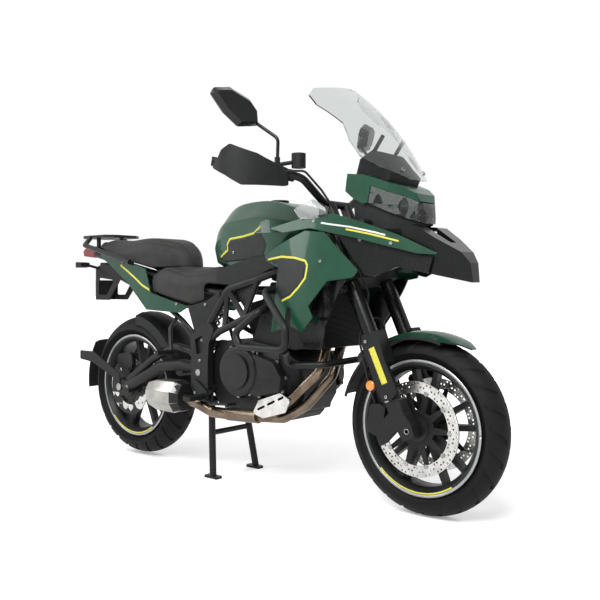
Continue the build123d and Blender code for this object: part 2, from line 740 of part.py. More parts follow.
def pillion_seat():
    """The raised pad, its front a bolster that rounds down to the saddle."""
    side = stations([(-340, 853.3), (-340, 1100), (-942, 1100), (-942, 960), (-835, 928), (-530, 853.3)])
    sections = [(-346, 22, 780, 868), (-366, 50, 780, 908), (-400, 74, 780, 944), (-450, 98, 780, 968), (-520, 120, 780, 982),
                (-620, 132, 780, 983), (-740, 127, 780, 979), (-850, 112, 780, 986), (-950, 88, 780, 992)]
    return loft([seat_section(*section) for section in sections]) & prism_y(side, -170, 170)


# Body panels


def tail_panels():
    outline = stations([(-236, 690), (-474, 746), (-516, 846), (-828, 926), (-912, 936), (-900, 908), (-800, 862), (-650, 785),
               (-502, 672), (-284, 664)])
    plan = stations([(-920, 112), (-800, 128), (-640, 146), (-480, 160), (-360, 164), (-230, 152)])
    return both(side_panel(outline, plan, 5, 0.04, 5))


def frame_covers(frame, tank, rails):
    inner, outer = frame_half_width - rail_diameter / 2 - 10, frame_half_width - rail_diameter / 2 - seat_gap
    seat_side = prism_y(stations([(-226, 690), (-112, 716), (-30, 760), (-60, 690), (-100, 600), (-160, 560), (-190, 600)]), inner, outer, 8)
    knee = prism_y(stations([(-60, 800), (28, 776), (170, 818), (316, 868), (330, 912), (220, 892), (120, 878), (0, 850), (-50, 836)]),
                   inner, outer, 8)
    infill = prism_y(stations([(40, 752), (160, 784), (112, 676)]), inner, outer, 6)
    pieces = []
    for cover in (seat_side, knee, infill):
        pieces.extend((cover - frame - tank - tank.moved(Location((0, 0.4, -0.4))) - rails).solids())
    return both(Compound(pieces))


def side_fairings(cowls, covers):
    outline = stations([(222, 886), (300, 916), (448, 966), (528, 958), (652, 828), (634, 803), (548, 792), (476, 706), (498, 668),
               (456, 618), (398, 636), (396, 700), (372, 700), (366, 628), (290, 608), (306, 740), (312, 842), (236, 866)])
    plan = stations([(210, 200), (300, 228), (420, 248), (530, 244), (600, 228), (664, 206)])
    panel = side_panel(outline, plan, 5, 0.07, 5)
    panel = joined(panel, trimmed(rod(at(466, 168, 660), at(466, 242, 660), 7), cowls),
                   trimmed(rod(at(258, 160, 880), at(258, 192, 880), 7), covers))
    return both(panel)


def upper_cowls():
    outline = stations([(250, 984), (436, 1016), (543, 1022), (645, 993), (782, 942), (914, 876), (846, 880), (645, 934), (452, 976), (326, 966)])
    plan = stations([(240, 202), (360, 212), (500, 212), (650, 192), (800, 151), (925, 102)])
    return both(side_panel(outline, plan, 5, 0.1, 3))


def cowl_sides(strips):
    outline = stations([(470, 988), (645, 946), (846, 892), (880, 868), (868, 816), (775, 838), (694, 806), (664, 812), (560, 940)])
    plan = stations([(450, 188), (560, 190), (660, 174), (780, 142), (900, 96)])
    panel = side_panel(outline, plan, 5, 0.1, 4)
    for x, z, inner, outer in ((700, 924, 151, 172.5), (566, 956, 173, 195)):
        panel = joined(panel, trimmed(rod(at(x, inner, z), at(x, outer, z), 6), strips))
    return both(panel)


def beak(cowls):
    side = stations([(770, 978), (814, 974), (950, 886), (976, 850), (984, 786), (872, 814), (778, 840)])
    plan = stations([(760, -118), (880, -84), (986, -20), (986, 20), (880, 84), (760, 118)])
    solid = prism_y(side, -150, 150, 3) & prism_z(plan, 700, 1000, 4)
    inner_side = stations([(700, 966), (811, 964), (944, 880), (967, 848), (974, 700), (700, 700)])
    inner_plan = stations([(700, -130), (760, -112), (878, -78), (976, -15), (976, 15), (878, 78), (760, 112), (700, 130)])
    hollow = prism_y(inner_side, -150, 150) & prism_z(inner_plan, 690, 1000)
    duct = prism_z(stations([(750, -42), (900, -20), (900, 20), (750, 42)]), 800, 1100, 6)
    boss = rod(at(806, 90, 862), at(806, 127, 862), 7)
    return joined(solid - hollow - duct, trimmed(boss, cowls), trimmed(mirrored(boss), cowls))


nose_plan = stations([(560, -152), (640, -150), (720, -118), (790, -60), (822, -18),
                      (822, 18), (790, 60), (720, 118), (640, 150), (560, 152)])


def nose_cowl():
    side = stations([(566, 1100), (576, 1158), (640, 1150), (748, 1110), (792, 1084), (803, 1054), (770, 1070), (664, 1112), (654, 1056),
            (640, 1052), (600, 1072)])
    return prism_y(side, -160, 160, 2) & prism_z(nose_plan, 900, 1200, 12)


def headlight():
    side = stations([(656.5, 1054), (666.5, 1110), (770, 1069), (804, 1052), (817, 1004), (812, 984), (764, 1002)])
    lens = prism_y(side, -160, 160, 1) & prism_z(nose_plan, 900, 1200, 12)
    return lens


screen_foot = (station(771), 1129)  # in side view; the profile is an arc from here
screen_foot_angle = 25
screen_half, screen_bow, screen_wall = 205, 100, 4
screen_axis = (screen_foot[0] - screen_radius * cos(radians(screen_foot_angle)),
               screen_foot[1] - screen_radius * sin(radians(screen_foot_angle)))


def screen_point(y, angle, depth):
    """A point at a depth behind the screen's outer face, at y and at an angle up its profile."""
    reach = screen_radius - screen_bow * (y / screen_half) ** 2 - depth
    turn = radians(angle)
    return Vector(screen_axis[0] + reach * cos(turn), y, screen_axis[1] + reach * sin(turn))


def lamp_housing(frame, nose, lamp):
    """The dark shell behind and under the headlight, down to the beak."""
    side = stations([(590, 1070), (653, 1053), (762, 999), (808, 982.5), (780, 980.5), (740, 968), (640, 962), (596, 1010)])
    plan = [(x - 4, y * 0.9) for x, y in nose_plan]
    return trimmed(prism_y(side, -160, 160, 2) & prism_z(plan, 900, 1200, 10), frame, nose, lamp)


def windscreen(strips):
    """A clear sheet bowed both ways, cut to its outline seen from the front, and two small deflectors."""
    shares = (-1, -0.72, -0.4, 0, 0.4, 0.72, 1)
    outer = Spline(*[screen_point(share * screen_half, 0, 0) for share in shares])
    inner = Spline(*[screen_point(share * screen_half, 0, screen_wall) for share in shares])
    face = make_face([outer, Line(outer @ 1, inner @ 1), inner, Line(inner @ 0, outer @ 0)])
    axis = Axis((screen_axis[0], 0, screen_axis[1]), (0, -1, 0))
    sheet = revolve(turned_about(axis, screen_foot_angle - 7) * face, axis, 44)
    half_outline = [(0, 1132), (52, 1134), (140, 1172), (172, 1208), (174, 1262), (158, 1330), (168, 1372), (176, 1404),
                    (166, 1446), (132, 1478), (0, 1489)]
    outline = half_outline + [(-y, z) for y, z in reversed(half_outline[1:-1])]
    screen = sheet & prism_x(outline, 200, 1000, 8)
    small = side_panel(stations([(372, 1046), (456, 1076), (530, 1042), (524, 1010), (410, 1006)]),
                       stations([(360, 202.5), (440, 202.5), (540, 198)]), 3, 0.12, 5)
    return together(screen, both(trimmed(small, strips)))


def dashboard(nose, screen):
    body = prism_y(stations([(566, 1150), (586, 1214), (640, 1240), (716, 1152), (700, 1120), (600, 1140)]), -92, 92, 6) - nose
    arm = rod(at(606, 64, 1212), screen_point(64, screen_foot_angle + 12, screen_wall / 2), 7)
    return joined(body, trimmed(arm, screen), trimmed(mirrored(arm), screen))


def radiator(frame):
    bottom, top = (480, 558), (438, 744)
    slope = atan2(bottom[0] - top[0], top[1] - bottom[1])
    thick = 28
    dx, dz = thick * cos(slope), thick * sin(slope)
    core = prism_y(stations([bottom, top, (top[0] - dx, top[1] - dz), (bottom[0] - dx, bottom[1] - dz)]), -150, 150)
    tank = prism_y(stations([bottom, top, (top[0] - dx, top[1] - dz), (bottom[0] - dx, bottom[1] - dz)]), 150, 166, 4)
    tab = rod(at(428, 87, 735), at(422, 87, 783), 8)
    return core + tank + mirrored(tank) + (tab + mirrored(tab) - frame)


def radiator_shrouds(core):
    outline = stations([(590, 806), (500, 790), (430, 700), (392, 610), (400, 552), (482, 552), (504, 640), (600, 796)])
    plan = stations([(380, 176), (430, 172.4), (482, 173), (530, 190), (610, 186)])
    return both(trimmed(side_panel(outline, plan, 5, 0, 4), core))


def crash_bars(frame):
    loop = bar(stations([(306, 140, 772), (282, 256, 758), (416, 290, 630), (416, 290, 556), (196, 288, 556), (162, 284, 606),
                (258, 262, 680), (262, 160, 709)]), 26, 28)
    loops = both(trimmed(loop, frame))
    cross = bar(stations([(407, 279, 547), (352, 206, 492), (470, 150, 498), (500, 0, 508), (470, -150, 498), (352, -206, 492),
                 (407, -279, 547)]), 24, 34)
    return together(loops, trimmed(cross, loops))


# Exhaust


def exhaust_headers(engine, silencer):
    first = bar(stations([(388, -44, 656), (420, -46, 606), (424, -112, 470), (306, -142, 356), (214, -142, 298), (70, -142, 282)]), 38, 40)
    second = bar(stations([(388, 44, 656), (420, 42, 606), (432, -50, 450), (352, -100, 338), (262, -124, 284), (110, -142, 276)]), 38, 40)
    collector = rod(at(150, -142, 280), at(-10, -144, 274), 26)
    link = bar(stations([(0, -144, 274), (-84, -160, 276), (-140, -196, 312), (-230, -203, 328)]), 44, 40)
    return first + second + collector + link - engine - silencer


def muffler():
    rear, front = station(-402), station(-194)
    centre_y, centre_z = -203, 328

    def section(x, half_width, half_height):
        corners = [(-0.55, -1), (0.55, -1), (1, -0.35), (1, 0.35), (0.55, 1), (-0.55, 1), (-1, 0.35), (-1, -0.35)]
        points = [(x, centre_y + a * half_width, centre_z + b * half_height) for a, b in corners]
        return fillet(make_face(Polyline(*points, close=True)).vertices(), 10)

    body = loft([section(rear, 40, 48), section(rear + 60, 56, 62), section(front - 40, 57, 64), section(front, 44, 52)], ruled=True)
    outlet = rod((rear - 5, centre_y, centre_z), (rear + 40, centre_y, centre_z), 17)
    return body - outlet


def heat_shield(headers):
    outline = stations([(142, 296), (172, 346), (282, 384), (330, 362), (306, 314), (196, 282)])
    shield = prism_y(outline, -168, -164.5, 10)
    slope = radians(24)
    for x, z, length in ((186, 320, 42), (236, 343, 42), (284, 364, 32)):
        dx, dz = length / 2 * cos(slope), length / 2 * sin(slope)
        slot = [(x - dx, z - dz - 5), (x + dx, z + dz - 5), (x + dx, z + dz + 5), (x - dx, z - dz + 5)]
        shield -= prism_y(stations(slot), -170, -160, 4)
    for x, z in ((309, 346), (246, 310)):
        shield = joined(shield, trimmed(rod(at(x, -165, z), at(x, -153, z), 5), headers))
    return shield


# Swingarm, chain and rear end

arm_half = 133
bridge_x, bridge_z = rear_axle_x + rear_tyre_radius + 75, 420  # the arm's cross tube, ahead of the tyre


def swingarm():
    lower = bar([Vector(rear_axle_x + 30, arm_half, rear_axle_z + 2), at(-560, arm_half, 372), at(-430, arm_half, 432),
                 at(-290, arm_half, 448), Vector(pivot_x, arm_half, pivot_z)], 46, 90)
    upper = bar([Vector(rear_axle_x + 52, arm_half, rear_axle_z + 36), at(-480, arm_half, 462), at(-334, arm_half, 522),
                 at(-236, arm_half, 506), Vector(pivot_x - 38, arm_half, pivot_z + 14)], 32, 60)
    block = prism_y([(rear_axle_x - 52, rear_axle_z - 26), (rear_axle_x + 66, rear_axle_z - 24),
                     (rear_axle_x + 66, rear_axle_z + 30), (rear_axle_x - 20, rear_axle_z + 36),
                     (rear_axle_x - 52, rear_axle_z + 22)], arm_half - 22, arm_half + 16, 8)
    side = lower + upper + block
    arm = side + mirrored(side)
    arm += rod((pivot_x, -plate_inner + seat_gap, pivot_z), (pivot_x, plate_inner - seat_gap, pivot_z), 21)
    arm += rod((bridge_x, -arm_half, bridge_z), (bridge_x, arm_half, bridge_z), 22)
    arm += prism_y([(bridge_x - 16, bridge_z), (bridge_x + 18, bridge_z), (bridge_x + 30, bridge_z + 58),
                    (bridge_x + 6, bridge_z + 64)], -22, 22)
    bore = rod((pivot_x, -200, pivot_z), (pivot_x, 200, pivot_z), 13 + press_gap)
    axle_bore = rod((rear_axle_x, -200, rear_axle_z), (rear_axle_x, 200, rear_axle_z), axle_radius + press_gap)
    return arm - bore - axle_bore


def swingarm_shaft():
    return rod((pivot_x, -198, pivot_z), (pivot_x, 198, pivot_z), 13)


def rear_axle():
    reach = arm_half + 22
    shaft = rod((rear_axle_x, -reach, rear_axle_z), (rear_axle_x, reach, rear_axle_z), axle_radius)
    inner = rear_hub_half + running_gap
    for side in (-1, 1):
        shaft += rod((rear_axle_x, side * inner, rear_axle_z), (rear_axle_x, side * (arm_half - 22), rear_axle_z), axle_radius + 7)
        shaft += rod((rear_axle_x, side * (arm_half + 16), rear_axle_z), (rear_axle_x, side * reach, rear_axle_z), 16)
    return shaft


def rear_shock(arm, rails):
    low, high = Vector(bridge_x + 18, 0, bridge_z + 50), at(-206, 0, 752)
    length = (high - low).length
    plane = Plane(origin=low, z_dir=high - low)
    coils, wire = 8, 6
    profile = [(0, 0), (16, 0), (16, 16)]
    pitch = (length - 56) / coils
    for number in range(coils):
        foot = 26 + pitch * number
        profile += [(22, foot), (30, foot + pitch * 0.25), (30, foot + pitch * 0.5), (22, foot + pitch * 0.75)]
    profile += [(20, length - 24), (20, length), (0, length)]
    face = make_face(Polyline(*[(r, 0, h) for r, h in profile], close=True))
    return plane.location * revolve(face, Axis.Z, 360) - arm - rails


def chain_loop(outward):
    """The band round both sprockets, grown outwards by the given distance from the pitch line."""
    front, rear = (front_sprocket_x, front_sprocket_z), (rear_axle_x, rear_axle_z)
    small, large = front_sprocket_radius + outward, rear_sprocket_radius + outward
    gap = hypot(front[0] - rear[0], front[1] - rear[1])
    tilt = atan2(front[1] - rear[1], front[0] - rear[0])
    spread = asin_clamped((large - small) / gap)
    points = {}
    for name, sign in (("upper", 1), ("lower", -1)):
        turn = tilt + sign * (pi / 2 - spread)
        points[name] = [(c[0] + r * cos(turn), chain_offset - chain_width / 2, c[1] + r * sin(turn))
                        for c, r in ((front, small), (rear, large))]
    y = chain_offset - chain_width / 2
    front_tip = (front[0] + small * cos(tilt), y, front[1] + small * sin(tilt))
    rear_tip = (rear[0] - large * cos(tilt), y, rear[1] - large * sin(tilt))
    return make_face([Line(points["upper"][1], points["upper"][0]),
                      ThreePointArc(points["upper"][0], front_tip, points["lower"][0]),
                      Line(points["lower"][0], points["lower"][1]),
                      ThreePointArc(points["lower"][1], rear_tip, points["upper"][1])])


def asin_clamped(value):
    return atan2(value, sqrt(1 - value * value))


def chain():
    outer = extrude(chain_loop(chain_height / 2), amount=chain_width, dir=(0, 1, 0))
    inner = extrude(chain_loop(-chain_height / 2), amount=chain_width, dir=(0, 1, 0))
    return outer - inner


def rear_hugger(arm):
    shell = mudguard_shell(rear_axle_x, rear_axle_z, rear_tyre_radius + 14, 83, 46, 22, 62)
    stay = rod((rear_axle_x + 219, 81, 500), (rear_axle_x + 219, arm_half - 3, 470), 8)
    return shell + (stay + mirrored(stay) - arm)


def rear_guard():
    """Splash guard behind the tyre on its two swingarm stays."""
    shell = mudguard_shell(rear_axle_x, rear_axle_z, rear_tyre_radius + 24, 84, 14, 146, 40)
    stay_inner = arm_half + 16
    drawn = [(-46, 18), (10, 18), (6, 60), (-195, 148), (-295, 148), (-295, 108), (-195, 98), (-40, 40)]
    stays = prism_y([(rear_axle_x + x, rear_axle_z + z) for x, z in drawn], stay_inner, stay_inner + 5, 6)
    bridge = rod((rear_axle_x - 295, 70, rear_axle_z + 128), (rear_axle_x - 279, stay_inner + 3, rear_axle_z + 128), 9)
    return shell + stays + mirrored(stays) + bridge + mirrored(bridge)


def rear_caliper():
    outer = arm_half - 22 - seat_gap
    block = caliper(rear_axle_x, rear_axle_z, 96, rear_disc_radius, 72, 84, 100, outer)
    drawn = [(-30, 22), (40, 18), (10, 108), (-40, 108)]
    bracket = prism_y([(rear_axle_x + x, rear_axle_z + z) for x, z in drawn], outer - 8, outer, 4)
    return mirrored(block + bracket)


# Tail


def undertray(rails):
    outline = stations([(-300, 752), (-560, 806), (-920, 884), (-920, 856), (-600, 742), (-400, 676), (-330, 690)])
    return prism_y(outline, -96, 96, 8) - rails


def luggage_rack(rails, panels):
    low, high = 1000, 1012
    plan = stations([(drawn_tail, -60), (drawn_tail, 60), (-1060, 92), (-880, 100), (-850, 60), (-850, -60),
                     (-880, -100), (-1060, -92)])
    plate = prism_z(plan, low, high, 10)
    for y in (-58, 0, 58):
        slot = stations([(-1040, y - 12), (-940, y - 12), (-940, y + 12), (-1040, y + 12)])
        plate -= prism_z(slot, low - 10, high + 10, 8)
    for x in (-1060, -920):
        for y in (-30, 30):
            plate -= rod(at(x, y, low - 10), at(x, y, high + 10), 3.5)
    rail = bar(stations([(-1010, 84, 1004), (-960, 152, 962), (-640, 164, 886), (-612, 160, 878)]), 22, 14)
    rail += trimmed(rod(at(-618, 162, 880), at(-618, 139.5, 872), 9), panels)
    leg = rod(at(-972, 66, 910), at(-972, 66, low + 2), 10)
    leg = trimmed(leg, rails)
    return joined(plate, rail, mirrored(rail), leg, mirrored(leg))


def tail_lamp(rails):
    side = stations([(-990, 906), (-1088, 916), (-1094, 940), (-1060, 962), (-990, 962)])
    return prism_y(side, -70, 70, 6) - rails


def rear_indicators():
    stalk = rod(at(-994, 56.2, 858), at(-1004, 112, 872), 6)
    head = prism_y(stations([(-1028, 858), (-984, 862), (-984, 882), (-1028, 886)]), 109, 158, 7)
    return both(stalk + head)


def plate_bracket(tray, rails):
    side = prism_y(stations([(-1012, 862), (-940, 880), (-820, 806), (-910, 706), (-1014, 706)]), 50, 56, 6)
    side -= prism_y(stations([(-988, 812), (-868, 800), (-926, 730), (-990, 730)]), 40, 60, 8)
    rear = station(-1014)
    back = prism_x([(-56, 706), (56, 706), (56, 800), (-56, 800)], rear, rear + 6, 4)
    top = prism_y(stations([(-1012, 862), (-940, 880), (-860, 832), (-940, 850), (-1012, 846)]), -56, 56, 2)
    return side + mirrored(side) + back + top - tray - rails


# Footrests and stands


def footrests():
    inner = plate_inner + 30 + seat_gap
    pieces = []
    for side in (1, -1):
        hanger = prism_y(stations([(-166, 410), (-130, 400), (-70, 360), (-60, 320), (-110, 322), (-150, 380)]), inner, inner + 8, 8)
        peg = rod(at(-92, inner + 7, 342), at(-92, 292, 338), 11)
        peg += prism_z(stations([(-112, 222), (-72, 222), (-72, 292), (-112, 292)]), 332, 348, 4)
        arm = bar(stations([(-84, inner + 5, 332), (-40, 214, 318), (96, 222, 330)]), 12, 60) + rod(at(96, 214, 330), at(96, 262, 330), 8)
        piece = hanger + peg + arm
        piece = piece if side > 0 else mirrored(piece)
        pieces.extend(piece.solids())
    return Compound(pieces)


def pillion_footrests(rails):
    hanger = bar(stations([(-330, 127, 648), (-330, 170, 600), (-306, 186, 500)]), 16, 30) - rails
    peg = rod(at(-306, 180, 500), at(-306, 262, 504), 11)
    return both(hanger + peg)


def centre_stand():
    half_pivot = 104
    leg = bar([(centre_pivot_x, half_pivot, centre_pivot_z), (centre_pivot_x + 4, half_pivot + 2, centre_pivot_z - 120),
               (centre_foot_x, centre_foot_half - 14, 8)], 28, 90)
    foot = prism_z([(centre_foot_x - 40, centre_foot_half - 34), (centre_foot_x + 34, centre_foot_half - 34),
                    (centre_foot_x + 34, centre_foot_half), (centre_foot_x - 40, centre_foot_half)], 0, 10, 6)
    eye = rod((centre_pivot_x, half_pivot - 16, centre_pivot_z), (centre_pivot_x, half_pivot + 18, centre_pivot_z), 20)
    side = leg + foot + eye
    stand = side + mirrored(side)
    brace_z = centre_pivot_z - 130
    stand += rod((centre_pivot_x + 5, -half_pivot, brace_z), (centre_pivot_x + 5, half_pivot, brace_z), 11)
    return stand - rod((centre_pivot_x, -200, centre_pivot_z), (centre_pivot_x, 200, centre_pivot_z), 10 + running_gap)


def centre_stand_pin():
    return rod((centre_pivot_x, -138, centre_pivot_z), (centre_pivot_x, 138, centre_pivot_z), 10)


def side_stand_lug(engine):
    lug = prism_y([(side_pivot_x - 40, 300), (side_pivot_x + 40, 300), (side_pivot_x + 16, side_pivot_z - 18), (side_pivot_x - 16, side_pivot_z - 18)],
                  118, 132, 6)
    lug += rod((side_pivot_x, 118, side_pivot_z), (side_pivot_x, 160, side_pivot_z), 8)
    return lug - engine


def side_stand():
    leg = bar([(side_pivot_x, 147, side_pivot_z), (side_pivot_x - 100, 158, side_pivot_z - 18), (side_pivot_x - 250, 172, side_pivot_z - 12)], 24, 60)
    eye = rod((side_pivot_x, 132 + running_gap, side_pivot_z), (side_pivot_x, 152, side_pivot_z), 18)
    foot = prism_x([(160, side_pivot_z - 32), (208, side_pivot_z - 26), (208, side_pivot_z + 2), (160, side_pivot_z - 4)],
                   side_pivot_x - 258, side_pivot_x - 248, 5)
    stand = leg + eye + foot
    return stand - rod((side_pivot_x, 100, side_pivot_z), (side_pivot_x, 200, side_pivot_z), 8 + running_gap)


# Export


def build():
    frame = frame_trellis()
    plates = pivot_plates(frame)
    engine = engine_block(frame, plates)
    rails = subframe(frame, plates)
    seat = rider_seat()
    tank = fuel_tank(frame, seat)
    arm = swingarm()
    silencer = muffler()
    headers = exhaust_headers(engine, silencer)
    panels = tail_panels()
    core = radiator(frame)
    strips = upper_cowls() - frame
    cowls = together(cowl_sides(strips), radiator_shrouds(core))
    covers = frame_covers(frame, tank, rails)
    tray = undertray(rails)
    bracket = plate_bracket(tray, rails)
    nose = nose_cowl() - frame
    lamp = headlight()
    screen = windscreen(strips)
    perches, calipers, guards = controls(), front_calipers(), handguards()
    return {
        "frame_trellis": frame,
        "pivot_plates": plates,
        "subframe": rails,
        "engine_block": engine,
        "engine_covers": together(clutch_cover(), alternator_cover()),
        "fuel_tank": tank,
        "fuel_cap": fuel_cap(),
        "rider_seat": seat,
        "pillion_seat": pillion_seat(),
        "tail_panels": panels,
        "frame_covers": covers,
        "side_fairings": side_fairings(cowls, covers),
        "upper_cowls": strips,
        "inner_cowls": cowls,
        "beak": beak(cowls),
        "nose_cowl": nose,
        "headlight": lamp,
        "lamp_housing": lamp_housing(frame, nose, lamp),
        "windscreen": screen,
        "dashboard": dashboard(nose, screen),
        "radiator": core,
        "crash_bars": crash_bars(frame),
        "exhaust_headers": headers,
        "muffler": silencer,
        "heat_shield": heat_shield(headers),
        "swingarm": arm,
        "pivot_shafts": together(swingarm_shaft(), centre_stand_pin(), side_stand_lug(engine)),
        "rear_axle": rear_axle(),
        "rear_shock": rear_shock(arm, rails),
        "chain": chain(),
        "rear_mudguards": together(rear_hugger(arm), rear_guard()),
        "rear_caliper": rear_caliper(),
        "undertray": tray,
        "luggage_rack": luggage_rack(rails, panels),
        "tail_lamp": tail_lamp(rails),
        "rear_indicators": rear_indicators() - bracket,
        "plate_bracket": bracket,
        "footrests": together(footrests(), pillion_footrests(rails)),
        "triple_clamps": triple_clamps(),
        "fork_outer_tubes": fork_outer_tubes(),
        "fork_feet": fork_feet(),
        "fork_guards": fork_guards(),
        "front_axle": front_axle(),
        "front_fender": front_fender(),
        "front_calipers": calipers,
        "brake_hoses": brake_hoses(calipers, perches, guards),
        "handlebar": handlebar(),
        "grips": grips(),
        "handguards": guards,
        "controls": perches,
        "mirrors": mirrors(perches),
        "front_rim": front_rim(),
        "front_tyre": front_tyre(),
        "front_discs": together(front_discs(), front_disc_carriers()),
        "rear_rim": rear_rim(),
        "rear_tyre": rear_tyre(),
        "rear_disc": rear_disc(),
        "rear_sprocket": rear_sprocket(),
        "centre_stand": centre_stand(),
        "side_stand": side_stand(),
    }


os.makedirs("parts", exist_ok=True)
for node, shape in build().items():
    export_step(shape, f"parts/{node}.step")
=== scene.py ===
import bmesh
import bpy
import json
from math import asin, atan2, ceil, cos, hypot, pi, radians, sin
from mathutils import Matrix, Vector
from mathutils.bvhtree import BVHTree


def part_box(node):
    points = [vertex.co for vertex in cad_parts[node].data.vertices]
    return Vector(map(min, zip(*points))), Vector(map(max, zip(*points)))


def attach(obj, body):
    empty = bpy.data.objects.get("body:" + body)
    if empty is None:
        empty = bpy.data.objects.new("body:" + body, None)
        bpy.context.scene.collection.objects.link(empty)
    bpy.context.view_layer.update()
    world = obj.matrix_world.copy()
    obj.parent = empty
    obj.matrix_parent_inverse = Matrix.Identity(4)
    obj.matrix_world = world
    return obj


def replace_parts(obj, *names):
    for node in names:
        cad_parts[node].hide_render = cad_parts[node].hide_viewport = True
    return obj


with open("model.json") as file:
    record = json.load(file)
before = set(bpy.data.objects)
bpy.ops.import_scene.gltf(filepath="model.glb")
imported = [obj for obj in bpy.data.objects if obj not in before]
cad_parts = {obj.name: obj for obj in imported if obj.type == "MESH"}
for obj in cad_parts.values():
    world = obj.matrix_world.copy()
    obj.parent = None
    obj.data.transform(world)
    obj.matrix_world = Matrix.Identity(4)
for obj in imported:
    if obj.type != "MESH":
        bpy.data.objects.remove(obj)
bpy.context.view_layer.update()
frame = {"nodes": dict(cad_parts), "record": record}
nodes = frame["nodes"]
carrier = {node: body for body, members in frame["record"]["behaviour"]["bodies"].items() for node in members}
mm = 0.001
frontAxle, rearAxle = (800, 0, 300), (-705, 0, 322)  # millimetres
print("frame loaded:", len(nodes), "nodes")


def hexColour(code):
    parts = [int(code[i:i + 2], 16) / 255 for i in (1, 3, 5)]
    return [p / 12.92 if p <= 0.04045 else ((p + 0.055) / 1.055) ** 2.4 for p in parts] + [1.0]


def addNode(tree, kind, inputs=None, **settings):
    node = tree.nodes.new(kind)
    for key, value in settings.items():
        setattr(node, key, value)
    for key, value in (inputs or {}).items():
        if isinstance(value, bpy.types.NodeSocket):
            tree.links.new(value, node.inputs[key])
        else:
            node.inputs[key].default_value = value
    return node


def newFinish(name, **sockets):
    finish = bpy.data.materials.new(name)
    finish.use_nodes = True
    tree = finish.node_tree
    tree.nodes.clear()
    shader = addNode(tree, "ShaderNodeBsdfPrincipled")
    addNode(tree, "ShaderNodeOutputMaterial", {"Surface": shader.outputs["BSDF"]})
    for socket, value in sockets.items():
        shader.inputs[socket.replace("_", " ")].default_value = value
    place = addNode(tree, "ShaderNodeTexCoord").outputs["Object"]
    return finish, tree, shader, place


# A moulded, cast, coated or sprayed surface: two near tones in soft patches, a grain that
# breaks the gloss, and a bump of the grain's own size. Sizes are in millimetres.
def grainedFinish(name, dark, light, patch, grain, rough, relief, **sockets):
    finish, tree, shader, place = newFinish(name, **sockets)
    patches = addNode(tree, "ShaderNodeTexNoise", {"Vector": place, "Scale": 1 / (patch * mm), "Detail": 4.0})
    ramp = addNode(tree, "ShaderNodeValToRGB", {"Fac": patches.outputs["Fac"]})
    for element, position, colour in zip(ramp.color_ramp.elements, (0.3, 0.7), (dark, light)):
        element.position, element.color = position, hexColour(colour)
    tree.links.new(ramp.outputs["Color"], shader.inputs["Base Color"])
    grit = addNode(tree, "ShaderNodeTexNoise", {"Vector": place, "Scale": 1 / (grain * mm), "Detail": 2.0})
    gloss = addNode(tree, "ShaderNodeMapRange",
                    {"Value": grit.outputs["Fac"], "From Min": 0.3, "From Max": 0.7,
                                                 "To Min": rough - 0.05, "To Max": rough + 0.05})
    tree.links.new(gloss.outputs["Result"], shader.inputs["Roughness"])
    bump = addNode(tree, "ShaderNodeBump", {"Height": grit.outputs["Fac"], "Strength": relief,
                                            "Distance": grain * mm * 0.3})
    tree.links.new(bump.outputs["Normal"], shader.inputs["Normal"])
    return finish


# A clear moulding: the tint shows at the edges and where two walls lie behind each other
def clearFinish(name, tint, rough):
    finish, tree, shader, place = newFinish(name, IOR=1.49, Transmission_Weight=1.0)
    haze = addNode(tree, "ShaderNodeTexNoise", {"Vector": place, "Scale": 1 / (90 * mm)})
    gloss = addNode(tree, "ShaderNodeMapRange", {"Value": haze.outputs["Fac"], "To Min": rough,
                                                 "To Max": rough + 0.03})
    tree.links.new(gloss.outputs["Result"], shader.inputs["Roughness"])
    shader.inputs["Base Color"].default_value = hexColour(tint)
    return finish


